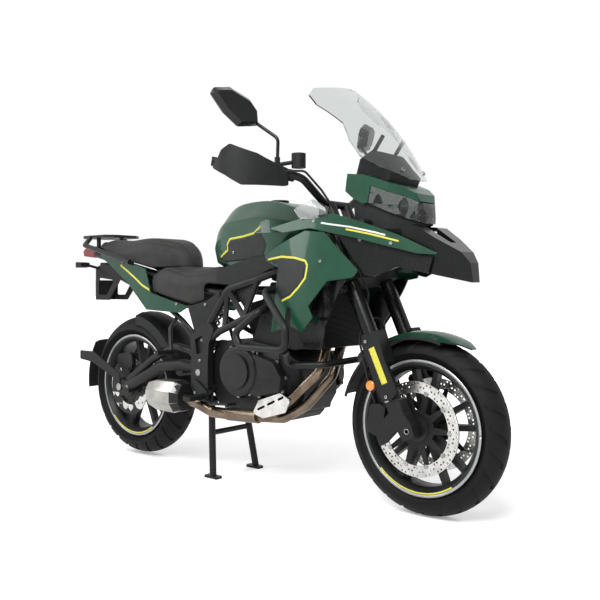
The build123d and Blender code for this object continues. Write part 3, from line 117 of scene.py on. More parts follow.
dullShine = 0.22  # the little that black finishes mirror of the white studio
finishes = {
    # base coat with a little flake under clear lacquer: deep green with a soft gloss
    "greenPaint": grainedFinish("lacqueredGreenPaint", "#05301f", "#093b28", 60, 6, 0.4, 0.03,
                                Metallic=0.1, Specular_IOR_Level=0.2, Coat_Weight=0.35, Coat_Roughness=0.06),
    # pigmented ABS, polished mould: black with a clear highlight
    "glossBlack": grainedFinish("polishedBlackAbs", "#0a0b0b", "#101111", 80, 8, 0.24, 0.03, IOR=1.53,
                                Specular_IOR_Level=dullShine),
    # pigmented polypropylene, spark-eroded mould: dull charcoal with a grain
    "mouldedBlack": grainedFinish("grainedBlackPolypropylene", "#0d0e0e", "#141515", 30, 2.4, 0.55, 0.25,
                                  IOR=1.49, Specular_IOR_Level=dullShine),
    # powder coat on steel tube: satin black with an even fine orange peel
    "powderBlack": grainedFinish("satinPowderCoat", "#0e0f0f", "#151616", 40, 3, 0.42, 0.15, IOR=1.5,
                                 Specular_IOR_Level=dullShine),
    # painted die casting: dark grey, a little rough
    "castBlack": grainedFinish("paintedDieCasting", "#0d0e0e", "#151615", 18, 1.8, 0.48, 0.3, IOR=1.5,
                               Specular_IOR_Level=dullShine),
    # lacquered engine casing: a shade paler and smoother than the castings round it
    "engineCover": grainedFinish("satinEngineLacquer", "#111211", "#191a18", 25, 2.2, 0.4, 0.2, IOR=1.5,
                                 Specular_IOR_Level=dullShine),
    # spun aluminium skin of the silencer: pale satin metal
    "silencerAlloy": grainedFinish("satinAluminium", "#8f8d88", "#a8a6a1", 50, 4, 0.36, 0.05, Metallic=1.0),
    # ground stainless sheet: pale metal that blurs what it mirrors
    "stainless": grainedFinish("brushedStainless", "#a8a7a4", "#c4c3c0", 30, 2, 0.3, 0.1, Metallic=1.0),
    # steel pipe tinted by heat: straw and brown in long patches
    "headerSteel": grainedFinish("heatTintedSteel", "#4c4238", "#776a5c", 70, 3, 0.3, 0.06, Metallic=1.0),
    # zinc plate on fixings and shafts: plain grey metal
    "bareSteel": grainedFinish("zincPlatedSteel", "#7d7e7e", "#9b9c9c", 20, 2, 0.34, 0.1, Metallic=1.0),
    # black oxide on chain plates: dark metal with a faint shine
    "darkSteel": grainedFinish("oxidisedSteel", "#3a3b3b", "#4c4d4d", 12, 1.5, 0.38, 0.1, Metallic=0.9),
    # vulcanised rubber: the deepest black here, with no clear highlight
    "tyreRubber": grainedFinish("vulcanisedRubber", "#080808", "#0d0d0d", 35, 2.5, 0.66, 0.3,
                                Specular_IOR_Level=0.18),
    # soft moulded rubber of grips and hoses: matt black
    "gripRubber": grainedFinish("mouldedGripRubber", "#161616", "#1f1f1f", 20, 2, 0.72, 0.35, IOR=1.52,
                                Specular_IOR_Level=dullShine),
    # embossed vinyl over foam: charcoal, matt, with a leather grain
    "seatVinyl": grainedFinish("grainedSeatVinyl", "#1f1f1f", "#292928", 45, 3.2, 0.6, 0.35, IOR=1.5,
                               Specular_IOR_Level=dullShine),
    # waxed thread: a shade paler than the vinyl, so that the seams show
    "seatThread": grainedFinish("waxedThread", "#4c4c4b", "#5a5a58", 6, 0.8, 0.7, 0.3, IOR=1.5),
    # lacquer on cast wheels: satin black with a trace of metal
    "rimBlack": grainedFinish("satinRimLacquer", "#1d1e1e", "#272828", 40, 3, 0.4, 0.1, Metallic=0.4,
                              Specular_IOR_Level=0.3),
    # amber and red acrylic: strong colours under a glassy skin
    "amberLens": grainedFinish("amberAcrylic", "#c06a14", "#d98324", 12, 3, 0.15, 0.1, IOR=1.49,
                               Coat_Weight=0.6),
    "redLens": grainedFinish("redAcrylic", "#5a0808", "#7a0e0c", 12, 4, 0.12, 0.1, IOR=1.49, Coat_Weight=0.6),
    # silvered glass: a clear reflection
    "mirrorGlass": grainedFinish("silveredGlass", "#b9bcbe", "#c6c9ca", 80, 20, 0.07, 0.0, Metallic=1.0),
    # glass over a display that is off: black with a sharp highlight
    "displayGlass": grainedFinish("darkDisplayGlass", "#08090b", "#0d0f12", 60, 20, 0.08, 0.0, IOR=1.5),
    # vinyl tapes of the trim: flat colours with a soft sheen
    "yellowTape": grainedFinish("yellowVinylTape", "#b3ad33", "#bdb73d", 30, 3, 0.4, 0.03, IOR=1.5),
    "whiteTape": grainedFinish("whiteVinylTape", "#bfc0bd", "#cacbc8", 30, 3, 0.4, 0.03, IOR=1.5),
    "greyTape": grainedFinish("greyVinylTape", "#8d8f8e", "#9c9e9d", 30, 3, 0.34, 0.03, Metallic=0.6),
    "blackTape": grainedFinish("blackVinylTape", "#131514", "#1a1c1b", 30, 3, 0.42, 0.03, IOR=1.5,
                               Specular_IOR_Level=dullShine),
    # clear and smoked polycarbonate: the screen is nearly colourless, the lamp's lens dark
    "clearScreen": clearFinish("clearPolycarbonate", "#d3d7d6", 0.0),
    "lampLens": clearFinish("smokedPolycarbonate", "#555a59", 0.0),
}

nodeFinish = {
    "greenPaint": "fuel_tank tail_panels side_fairings upper_cowls nose_cowl front_fender",
    "glossBlack": "inner_cowls beak mirrors fork_outer_tubes",
    "mouldedBlack": "frame_covers lamp_housing dashboard rear_mudguards undertray plate_bracket fork_guards"
                    " handguards rear_indicators controls",
    "powderBlack": "frame_trellis subframe crash_bars luggage_rack handlebar centre_stand side_stand"
                   " radiator footrests",
    "castBlack": "pivot_plates engine_block swingarm triple_clamps fork_feet front_calipers rear_caliper",
    "engineCover": "engine_covers fuel_cap",
    "silencerAlloy": "muffler",
    "stainless": "heat_shield front_discs rear_disc",
    "headerSteel": "exhaust_headers",
    "bareSteel": "pivot_shafts rear_axle front_axle rear_sprocket",
    "rimBlack": "front_rim rear_rim",
    "gripRubber": "grips brake_hoses",
    "redLens": "tail_lamp",
    "clearScreen": "windscreen",
    "lampLens": "headlight",
}
finishOf = {node: finish for finish, names in nodeFinish.items() for node in names.split()}


def putOn(piece, body):
    if piece.name not in bpy.context.scene.collection.objects:
        bpy.context.scene.collection.objects.link(piece)
    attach(piece, body)
    return piece


def smoothed(mesh, crease):
    mesh.polygons.foreach_set("use_smooth", [True] * len(mesh.polygons))
    mesh.set_sharp_from_angle(angle=radians(crease))


def faceOutward(mesh):
    shape = bmesh.new()
    shape.from_mesh(mesh)
    bmesh.ops.recalc_face_normals(shape, faces=shape.faces)
    shape.to_mesh(mesh)
    shape.free()


# A mesh from points in millimetres, closed faces turned outward
def newMesh(name, points, faces, finish, crease=35, outward=True):
    mesh = bpy.data.meshes.new(name)
    mesh.from_pydata([[c * mm for c in p] for p in points], [], faces)
    if outward:
        faceOutward(mesh)
    if finish:
        mesh.materials.append(finishes[finish])
    smoothed(mesh, crease)
    return mesh


def newPiece(name, points, faces, finish, body, crease=35):
    return putOn(bpy.data.objects.new(name, newMesh(name, points, faces, finish, crease)), body)


dressing = {"edge": 1.0, "segments": 2, "merge": 0.002, "flat": 0.6}  # millimetres and degrees


# A finished copy of a node: doubles merged, flat faces rejoined, edges broken, smooth between them
def dressNode(node, finish, edge, crease=32):
    mesh = nodes[node].data.copy()
    shape = bmesh.new()
    shape.from_mesh(mesh)
    bmesh.ops.remove_doubles(shape, verts=shape.verts, dist=dressing["merge"] * mm)
    bmesh.ops.dissolve_limit(shape, angle_limit=radians(dressing["flat"]), verts=shape.verts,
                             edges=shape.edges)
    shape.to_mesh(mesh)
    shape.free()
    mesh.materials.clear()
    mesh.materials.append(finishes[finish])
    smoothed(mesh, crease)
    piece = bpy.data.objects.new(node + ".dressed", mesh)
    if edge:
        bevel = piece.modifiers.new("brokenEdges", "BEVEL")
        bevel.width, bevel.segments, bevel.limit_method = edge * mm, dressing["segments"], "ANGLE"
        bevel.angle_limit, bevel.harden_normals, bevel.use_clamp_overlap = radians(crease), True, True
    putOn(piece, carrier[node])
    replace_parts(piece, node)
    return piece


plainEdges = {"frame_trellis", "subframe", "crash_bars", "exhaust_headers", "handlebar", "windscreen",
              "grips", "brake_hoses", "pivot_shafts", "side_stand"}
dressed = {node: dressNode(node, finish, 0 if node in plainEdges else dressing["edge"])
           for node, finish in finishOf.items()}


# A second finish on the faces that a test picks by their middle, in millimetres, and normal
def secondFinish(node, finish, test):
    mesh = dressed[node].data
    mesh.materials.append(finishes[finish])
    for face in mesh.polygons:
        if test(face.center / mm, face.normal):
            face.material_index = 1


# The rear disc's black carrier, the fender's lips and tail, and the silencer's two end caps
twoTone = {"carrierRadius": 84, "lipSlope": 0.72, "underSlope": -0.2, "fenderTail": 690, "capFront": -215,
           "capRear": -505}
secondFinish("rear_disc", "castBlack",
             lambda c, n: hypot(c.x - rearAxle[0], c.z - rearAxle[2]) < twoTone["carrierRadius"])
secondFinish("front_fender", "mouldedBlack", lambda c, n: abs(n.y) > twoTone["lipSlope"]
             or n.z < twoTone["underSlope"] or c.x < twoTone["fenderTail"])
secondFinish("muffler", "castBlack", lambda c, n: c.x > twoTone["capFront"] or c.x < twoTone["capRear"])
print("nodes dressed:", len(dressed))

hulls = {}


# Where a ray first meets a CAD node: the point and the normal on the ray's side, or nothing
def cast(node, origin, direction):
    if node not in hulls:
        mesh = nodes[node].data
        hulls[node] = BVHTree.FromPolygons([v.co for v in mesh.vertices], [p.vertices for p in mesh.polygons])
    hit, normal, index, distance = hulls[node].ray_cast(Vector(origin) * mm, Vector(direction))
    if hit is None:
        return None
    return hit, normal if normal.dot(Vector(direction)) < 0 else -normal


def castSide(node, side, x, z):
    return cast(node, (x, side * 900, z), (0, -side, 0))


# A Geometry Nodes tree with its named inputs
def newTree(name, sockets):
    tree = bpy.data.node_groups.new(name, "GeometryNodeTree")
    for label, kind in sockets.items():
        tree.interface.new_socket(label, in_out="INPUT", socket_type=kind)
    tree.interface.new_socket("Geometry", in_out="OUTPUT", socket_type="NodeSocketGeometry")
    return tree, addNode(tree, "NodeGroupInput").outputs


# Repeats a piece round the Y axis
aroundTree, given = newTree("repeatAround", {"Geometry": "NodeSocketGeometry", "Count": "NodeSocketInt",
                                             "Finish": "NodeSocketMaterial"})
spots = addNode(aroundTree, "GeometryNodeMeshLine", {"Count": given["Count"], "Offset": (0, 0, 0)})
step = addNode(aroundTree, "ShaderNodeMath", {0: 2 * pi, 1: given["Count"]}, operation="DIVIDE")
number = addNode(aroundTree, "GeometryNodeInputIndex")
turn = addNode(aroundTree, "ShaderNodeMath", {0: number.outputs[0], 1: step.outputs[0]}, operation="MULTIPLY")
spin = addNode(aroundTree, "ShaderNodeCombineXYZ", {"Y": turn.outputs[0]})
copies = addNode(aroundTree, "GeometryNodeInstanceOnPoints",
                 {"Points": spots.outputs[0], "Instance": given["Geometry"], "Rotation": spin.outputs[0]})
solid = addNode(aroundTree, "GeometryNodeRealizeInstances", {0: copies.outputs[0]})
welded = addNode(aroundTree, "GeometryNodeMergeByDistance",
                 {"Geometry": solid.outputs[0], "Distance": 0.02 * mm})
painted = addNode(aroundTree, "GeometryNodeSetMaterial",
                  {"Geometry": welded.outputs[0], "Material": given["Finish"]})
addNode(aroundTree, "NodeGroupOutput", {0: painted.outputs[0]})

# Stands a piece on every point, turned and sized as the point says
pointTree, given = newTree("standOnPoints", {"Geometry": "NodeSocketGeometry", "Piece": "NodeSocketObject",
                                             "Finish": "NodeSocketMaterial"})
info = addNode(pointTree, "GeometryNodeObjectInfo", {"Object": given["Piece"]})
facing = addNode(pointTree, "GeometryNodeInputNamedAttribute", {"Name": "turn"}, data_type="FLOAT_VECTOR")
size = addNode(pointTree, "GeometryNodeInputNamedAttribute", {"Name": "size"}, data_type="FLOAT")
copies = addNode(pointTree, "GeometryNodeInstanceOnPoints",
                 {"Points": given["Geometry"], "Instance": info.outputs["Geometry"],
                  "Rotation": facing.outputs["Attribute"], "Scale": size.outputs["Attribute"]})
solid = addNode(pointTree, "GeometryNodeRealizeInstances", {0: copies.outputs[0]})
painted = addNode(pointTree, "GeometryNodeSetMaterial",
                  {"Geometry": solid.outputs[0], "Material": given["Finish"]})
addNode(pointTree, "NodeGroupOutput", {0: painted.outputs[0]})


# Runs a tree over a mesh and keeps the outcome as a plain mesh
def grow(name, mesh, tree, body, crease=35, moved=(0, 0, 0), **inputs):
    piece = bpy.data.objects.new(name, mesh)
    bpy.context.scene.collection.objects.link(piece)
    modifier = piece.modifiers.new("grown", "NODES")
    modifier.node_group = tree
    for socket in tree.interface.items_tree:
        if socket.name in inputs:
            modifier[socket.identifier] = inputs[socket.name]
    grown = bpy.data.meshes.new_from_object(piece.evaluated_get(bpy.context.evaluated_depsgraph_get()))
    piece.modifiers.clear()
    grown.transform(Matrix.Translation(Vector(moved) * mm))
    smoothed(grown, crease)
    piece.data = grown
    return putOn(piece, body)


# Points that carry a turn and a size for standOnPoints; each spot is (place in metres, Euler turn, size)
def spotMesh(name, spots):
    mesh = bpy.data.meshes.new(name)
    mesh.from_pydata([tuple(place) for place, turn, size in spots], [], [])
    mesh.attributes.new("turn", "FLOAT_VECTOR", "POINT").data.foreach_set(
        "vector", [c for place, turn, size in spots for c in turn])
    mesh.attributes.new("size", "FLOAT", "POINT").data.foreach_set("value",
                                                                   [size for place, turn, size in spots])
    return mesh


def standOn(name, spots, shape, finish, body, crease=35):
    template = bpy.data.objects.new(name + "Template", shape)
    piece = grow(name, spotMesh(name, spots), pointTree, body, crease, Piece=template,
                 Finish=finishes[finish])
    bpy.data.objects.remove(template)
    return piece


def outwardTurn(normal):
    return normal.to_track_quat("Z", "Y").to_euler()


# Faces of a tube through rings of equal length, with both ends closed
def ringFaces(rings, count):
    faces = [[r * count + i, r * count + (i + 1) % count, (r + 1) * count + (i + 1) % count,
              (r + 1) * count + i] for r in range(rings - 1) for i in range(count)]
    return faces + [list(range(count)), list(range((rings - 1) * count, rings * count))]


# A turned body about Z from (radius, height) pairs; hex pairs carry a third value
def turnedMesh(name, profile, finish=None, count=12):
    points = []
    for radius, height, *hexed in profile:
        for i in range(count):
            reach = radius * (cos(pi / 6) if hexed and i % 2 else 1)
            points.append((reach * cos(2 * pi * i / count), reach * sin(2 * pi * i / count), height))
    return newMesh(name, points, ringFaces(len(profile), count), finish, 30)


# Tyres: one pitch of tread, sheared so that its grooves run with the mesh, repeated round the axle
tyres = {
    "front_tyre": {"axle": frontAxle, "radius": 300, "width": 120, "rimWidth": 102, "pitches": 24,
                   "depth": 5.5},
    "rear_tyre": {"axle": rearAxle, "radius": 312, "width": 160, "rimWidth": 128, "pitches": 24,
                  "depth": 6.5},
}
# Radii of the flank in millimetres, shares of the half breadth and of the pitch for the grooves
treadForm = {"shoulder": 257, "upper": 246, "lower": 235, "bead": 219, "beadInset": 10.5, "shear": 0.85,
             "bend": 1.3, "grooved": (0.14, 0.88), "early": (0.11, 0.29), "late": (0.61, 0.79), "crease": 38}
treadColumns = (0.0, 0.06, 0.10, 0.14, 0.28, 0.42, 0.56, 0.70, 0.82, 0.88, 0.93, 1.0)
treadRows = (0.0, 0.08, 0.11, 0.20, 0.29, 0.32, 0.50, 0.58, 0.61, 0.70, 0.79, 0.82, 1.0)


def treadPitch(name, radius, width, rimWidth, pitches, depth):
    half, shoulder, bead = width / 2, treadForm["shoulder"], rimWidth / 2 - treadForm["beadInset"]
    shearEnd, rimRadius = treadForm["shear"], treadForm["bead"]
    centre = (radius ** 2 - shoulder ** 2 - half ** 2) / (2 * (radius - shoulder))
    arc = radius - centre
    reach = atan2(half, shoulder - centre)
    columns = []
    for share in [-s for s in reversed(treadColumns[1:])] + list(treadColumns):
        groove = treadForm["grooved"][0] <= abs(share) <= treadForm["grooved"][1]
        early = share > 0
        shear = shearEnd * abs(share) ** treadForm["bend"]
        columns.append((arc * sin(share * reach), centre + arc * cos(share * reach), shear, groove, early))
    flank = [(half + 0.6, shoulder - 5), ((half + bead) / 2 + 1, treadForm["upper"]),
             (bead + 1, treadForm["lower"]), (bead, rimRadius)]
    wall = [(y, r, shearEnd, False, True) for y, r in flank] + [(0, rimRadius, shearEnd, False, True)]
    columns += wall + [(-y, r, k, False, True) for y, r, k, g, e in reversed(wall[:-1])]
    points, faces, count = [], [], len(columns)
    for row in treadRows:
        for y, r, shear, groove, early in columns:
            low, high = treadForm["early" if early else "late"]
            cut = depth if groove and low <= row <= high else 0
            turn = (row + shear) * 2 * pi / pitches
            points.append(((r - cut) * cos(turn), y, (r - cut) * sin(turn)))
    for i in range(len(treadRows) - 1):
        for j in range(count):
            k = (j + 1) % count
            faces.append([i * count + j, i * count + k, (i + 1) * count + k, (i + 1) * count + j])
    return newMesh(name, points, faces, None, outward=False)


for node, form in tyres.items():
    sizes = {key: value for key, value in form.items() if key != "axle"}
    piece = grow(node + ".treaded", treadPitch(node, **sizes), aroundTree, carrier[node], treadForm["crease"],
                 form["axle"], Count=form["pitches"], Finish=finishes["tyreRubber"])
    faceOutward(piece.data)
    smoothed(piece.data, treadForm["crease"])
    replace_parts(piece, node)
print("tyres treaded")

# Seats: the foam's form from the node, rounded by a fine remesh, with sewn grooves round the top
seats = {
    "rider_seat": {"cell": 4.5, "rounds": 10, "inset": 24, "depth": 2.6, "reach": 6.0, "fill": 0.8},
    "pillion_seat": {"cell": 4.5, "rounds": 10, "inset": 22, "depth": 2.6, "reach": 6.0, "fill": 0.8},
}
# The sewn line's stations, its feeler's step, the slope that ends the top, and the stitches' spacing
seam = {"stations": 40, "ends": 14, "step": 3, "slope": 0.62, "stitch": 7, "inside": 5}


# The sewn line on a seat's top, station by station: (x, half breadth) in millimetres
def seamLine(node, inset):
    low, high = [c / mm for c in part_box(node)[0]], [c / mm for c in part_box(node)[1]]
    line = []
    for i in range(seam["stations"] + 1):
        x = low[0] + seam["ends"] + (high[0] - low[0] - 2 * seam["ends"]) * i / seam["stations"]
        breadth = 0
        while breadth < high[1]:
            met = cast(node, (x, breadth + seam["step"], 2000), (0, 0, -1))
            if met is None or met[1].z < seam["slope"]:
                break
            breadth += seam["step"]
        if breadth > inset:
            line.append((x, max(breadth - inset * 0.4, 4)))
    return line


# How far a place lies from the stretch between two stations
def offLine(place, a, b):
    run = (b[0] - a[0], b[1] - a[1])
    return abs(run[0] * (a[1] - place[1]) - (a[0] - place[0]) * run[1]) / hypot(*run)


for node, form in seats.items():
    mesh = nodes[node].data.copy()
    mesh.materials.clear()
    mesh.materials.append(finishes["seatVinyl"])
    piece = bpy.data.objects.new(node + ".padded", mesh)
    bpy.context.scene.collection.objects.link(piece)
    remesh = piece.modifiers.new("foam", "REMESH")
    remesh.mode, remesh.voxel_size = "VOXEL", form["cell"] * mm
    ease = piece.modifiers.new("ease", "SMOOTH")
    ease.factor, ease.iterations = 0.5, form["rounds"]
    soft = bpy.data.meshes.new_from_object(piece.evaluated_get(bpy.context.evaluated_depsgraph_get()))
    piece.modifiers.clear()
    line = seamLine(node, form["inset"])
    for vertex in soft.vertices:
        if vertex.normal.z < 0.35 or not line[0][0] <= vertex.co.x / mm <= line[-1][0]:
            continue
        place = (vertex.co.x / mm, abs(vertex.co.y) / mm)
        away = min(offLine(place, a, b)
                   for a, b in zip(line, line[1:]) if a[0] - 10 <= place[0] <= b[0] + 10)
        vertex.co -= vertex.normal * form["depth"] * mm * max(0.0, 1 - (away / form["reach"]) ** 2)
    piece.data = soft
    smoothed(soft, 60)
    putOn(piece, carrier[node])
    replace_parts(piece, node)
    hulls[node + ".padded"] = BVHTree.FromPolygons([v.co for v in soft.vertices],
                                                   [p.vertices for p in soft.polygons])
    stitches = []
    for a, b in zip(line, line[1:]):
        runs = max(1, round(hypot(b[0] - a[0], b[1] - a[1]) / seam["stitch"]))
        for i in range(runs):
            x = a[0] + (b[0] - a[0]) * i / runs
            y = a[1] + (b[1] - a[1]) * i / runs - seam["inside"]
            for side in (-1, 1):
                met = hulls[node + ".padded"].ray_cast(Vector((x, side * y, 2000)) * mm, Vector((0, 0, -1)))
                if met[0] is not None:
                    stitches.append((met[0], (0, 0, side * atan2(b[1] - a[1], b[0] - a[0])), 1.0))
    thread = turnedMesh("thread", [(0.3, -2.2), (0.7, -1.6), (0.8, 0), (0.7, 1.6), (0.3, 2.2)], count=8)
    thread.transform(Matrix.Rotation(pi / 2, 4, "Y"))
    standOn(node + "Stitches", stitches, thread, "seatThread", carrier[node])
print("seats padded")

# Chain: outer and inner links by turns round both sprockets
chainRun = {"front": (-55, 445), "frontRadius": 36, "rear": (rearAxle[0], rearAxle[2]), "rearRadius": 111,
            "offset": 94, "pitch": 15.875}
linkSizes = {
    "outer": {"pitch": 15.6, "height": 13.5, "gap": 5.6, "thick": 1.7, "pinRadius": 2.5, "pinHalf": 8.6},
    "inner": {"pitch": 15.6, "height": 14.2, "gap": 3.6, "thick": 1.7, "pinRadius": 4.6, "pinHalf": 3.6},
}


def chainStations(front, frontRadius, rear, rearRadius, offset, pitch):
    gap = hypot(front[0] - rear[0], front[1] - rear[1])
    lean = atan2(front[1] - rear[1], front[0] - rear[0])
    wrap = pi / 2 - asin((rearRadius - frontRadius) / gap)
    path = [(rear[0] + rearRadius * cos(t), rear[1] + rearRadius * sin(t))
            for t in [lean + wrap + (2 * pi - 2 * wrap) * i / 120 for i in range(121)]]
    path += [(front[0] + frontRadius * cos(t), front[1] + frontRadius * sin(t))
             for t in [lean - wrap + 2 * wrap * i / 60 for i in range(61)]]
    path.append(path[0])
    lengths = [0]
    for a, b in zip(path, path[1:]):
        lengths.append(lengths[-1] + hypot(b[0] - a[0], b[1] - a[1]))
    count = 2 * round(lengths[-1] / pitch / 2)
    stations, j = [], 0
    for i in range(count):
        want = lengths[-1] * i / count
        while lengths[j + 1] < want:
            j += 1
        share = (want - lengths[j]) / (lengths[j + 1] - lengths[j])
        stations.append(tuple(path[j][k] + (path[j + 1][k] - path[j][k]) * share for k in (0, 1)))
    return stations


# A link: two waisted plates and two cross pins or rollers, along X
def linkMesh(name, pitch, height, gap, thick, pinRadius, pinHalf):
    outline = []
    for i in range(13):
        t = -pi / 2 + pi * i / 12
        outline.append((pitch / 2 + height / 2 * cos(t), height / 2 * sin(t)))
    outline += [(0, height * 0.36)] + [(-x, -z) for x, z in outline] + [(0, -height * 0.36)]
    points, faces = [], []
    for low in (gap, -gap - thick):
        base = len(points)
        points += [(x, low, z) for x, z in outline] + [(x, low + thick, z) for x, z in outline]
        faces += [[base + i for i in face] for face in ringFaces(2, len(outline))]
    for x in (-pitch / 2, pitch / 2):
        base = len(points)
        ring = [(x + pinRadius * cos(2 * pi * i / 10), pinRadius * sin(2 * pi * i / 10)) for i in range(10)]
        points += [(a, -pinHalf, b) for a, b in ring] + [(a, pinHalf, b) for a, b in ring]
        faces += [[base + i for i in face] for face in ringFaces(2, 10)]
    return newMesh(name, points, faces, None)


stations = chainStations(**chainRun)
links = {0: [], 1: []}
for i, a in enumerate(stations):
    b = stations[(i + 1) % len(stations)]
    middle = Vector(((a[0] + b[0]) / 2, chainRun["offset"], (a[1] + b[1]) / 2)) * mm
    links[i % 2].append((middle, (0, -atan2(b[1] - a[1], b[0] - a[0]), 0), 1.0))
outerLinks = standOn("chainOuterLinks", links[0], linkMesh("outerLink", **linkSizes["outer"]), "darkSteel",
                     carrier["chain"])
innerLinks = standOn("chainInnerLinks", links[1], linkMesh("innerLink", **linkSizes["inner"]), "bareSteel",
                     carrier["chain"])
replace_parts(outerLinks, "chain")
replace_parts(innerLinks, "chain")
print("chain linked:", len(stations))

# Radiator: rows of thin slats across the core's face
core = {"bottom": (480, 558), "top": (438, 744), "half": 147, "rows": 44, "slat": 5.0, "thin": 0.5,
        "tilt": 0.5}
lean = atan2(core["bottom"][0] - core["top"][0], core["top"][1] - core["bottom"][1])
corners = [(x * core["slat"], y * core["half"], z * core["thin"])
           for x in (-1, 1) for y in (-1, 1) for z in (-1, 1)]
slat = newMesh("slat", corners,
               [[0, 1, 3, 2], [4, 5, 7, 6], [0, 1, 5, 4], [2, 3, 7, 6], [0, 2, 6, 4], [1, 3, 7, 5]], None)
rows = []
for i in range(core["rows"]):
    share = (i + 0.5) / core["rows"]
    place = [core["bottom"][0] + (core["top"][0] - core["bottom"][0]) * share, 0,
             core["bottom"][1] + (core["top"][1] - core["bottom"][1]) * share]
    rows.append((Vector(place) * mm, (0, core["tilt"] - lean, 0), 1.0))
standOn("radiatorSlats", rows, slat, "castBlack", carrier["radiator"])

# Rear damper: a coil spring round its body, between two collars
damper = {"low": (-300, 0, 470), "high": (-206, 0, 752), "coils": 9, "wire": 5.5, "coil": 25.5, "body": 15,
          "foot": 14, "head": 18, "collar": 30, "free": 28}


# Carries a shape about Z to its place between two points
def between(low, high):
    axis = Vector(high) - Vector(low)
    return Matrix.Translation(Vector(low) * mm) @ axis.to_track_quat("Z", "Y").to_matrix().to_4x4()


def turnedBetween(name, low, high, profile, finish, body, count=24):
    mesh = turnedMesh(name, profile, finish, count)
    mesh.transform(between(low, high))
    return putOn(bpy.data.objects.new(name, mesh), body)


span = (Vector(damper["high"]) - Vector(damper["low"])).length
shaft = turnedBetween("damperBody", damper["low"], damper["high"],
                      [(damper["foot"], 0), (damper["foot"], 14), (damper["collar"], 16),
                       (damper["collar"], 24), (damper["body"], 25), (damper["body"], span - 25),
                       (damper["collar"], span - 24), (damper["collar"], span - 14),
                       (damper["head"], span - 12), (damper["head"], span)],
                      "castBlack", carrier["rear_shock"])
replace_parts(shaft, "rear_shock")
coilRings, wireSides = 30 * damper["coils"], 10
points = []
for i in range(coilRings):
    turn = 2 * pi * damper["coils"] * i / (coilRings - 1)
    height = damper["free"] + (span - 2 * damper["free"]) * i / (coilRings - 1)
    for k in range(wireSides):
        a = 2 * pi * k / wireSides
        reach = damper["coil"] + damper["wire"] * cos(a)
        points.append((reach * cos(turn), reach * sin(turn), height + damper["wire"] * sin(a)))
coilMesh = newMesh("springCoil", points, ringFaces(coilRings, wireSides), "bareSteel")
coilMesh.transform(between(damper["low"], damper["high"]))
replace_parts(putOn(bpy.data.objects.new("springCoil", coilMesh), carrier["rear_shock"]), "rear_shock")
print("damper and radiator set")


# Trim tapes: a grid of (x, z) places laid on a node's side, a little proud of it
def laidGrid(name, node, side, grid, finish, lift=0.4, deepest=14):
    points, faces, kept = [], [], {}
    for i, row in enumerate(grid):
        for j, (x, z) in enumerate(row):
            met = castSide(node, side, x, z)
            if met:
                kept[i, j] = len(points)
                points.append(met[0] / mm + met[1] * lift)
    for i in range(len(grid) - 1):
        for j in range(len(grid[0]) - 1):
            corners = [(i, j), (i, j + 1), (i + 1, j + 1), (i + 1, j)]
            if all(c in kept for c in corners):
                ys = [points[kept[c]][1] for c in corners]
                if max(ys) - min(ys) < deepest:
                    faces.append([kept[c] for c in corners])
    return laidSheet(name, node, side, points, faces, finish, lift)


# A thin sheet from laid points, its faces turned to the side that it lies on
def laidSheet(name, node, side, points, faces, finish, lift):
    if not faces:
        print("nothing to lay on:", name)
        return None
    mesh = newMesh(name, points, faces, finish, 60, outward=False)
    shape = bmesh.new()
    shape.from_mesh(mesh)
    bmesh.ops.delete(shape, geom=[v for v in shape.verts if not v.link_faces], context="VERTS")
    for face in shape.faces:
        face.normal_update()
    bmesh.ops.reverse_faces(shape, faces=[face for face in shape.faces if face.normal.y * side < 0])
    shape.to_mesh(mesh)
    shape.free()
    smoothed(mesh, 60)
    piece = bpy.data.objects.new(name, mesh)
    thick = piece.modifiers.new("tape", "SOLIDIFY")
    thick.thickness, thick.offset = 2 * lift * mm, -1.0
    return putOn(piece, carrier[node])


# Three places across a band at every step of its route
def bandGrid(route, width, pace=6.0):
    line = []
    for a, b in zip(route, route[1:]):
        runs = max(1, ceil(hypot(b[0] - a[0], b[1] - a[1]) / pace))
        line += [(a[0] + (b[0] - a[0]) * i / runs, a[1] + (b[1] - a[1]) * i / runs) for i in range(runs)]
    line.append(route[-1])
    grid = []
    for i, p in enumerate(line):
        a, b = line[max(i - 1, 0)], line[min(i + 1, len(line) - 1)]
        run = hypot(b[0] - a[0], b[1] - a[1])
        across = (-(b[1] - a[1]) / run, (b[0] - a[0]) / run)
        grid.append([(p[0] + across[0] * width * s, p[1] + across[1] * width * s) for s in (-0.5, 0.0, 0.5)])
    return grid


# The same round a centre, between two radii and two angles
def arcGrid(centre, inner, outer, start, end):
    runs = max(2, ceil(abs(end - start) / 3))
    turns = [radians(start + (end - start) * i / runs) for i in range(runs + 1)]
    radii = (inner, (inner + outer) / 2, outer)
    return [[(centre[0] + r * cos(turn), centre[1] + r * sin(turn)) for r in radii] for turn in turns]


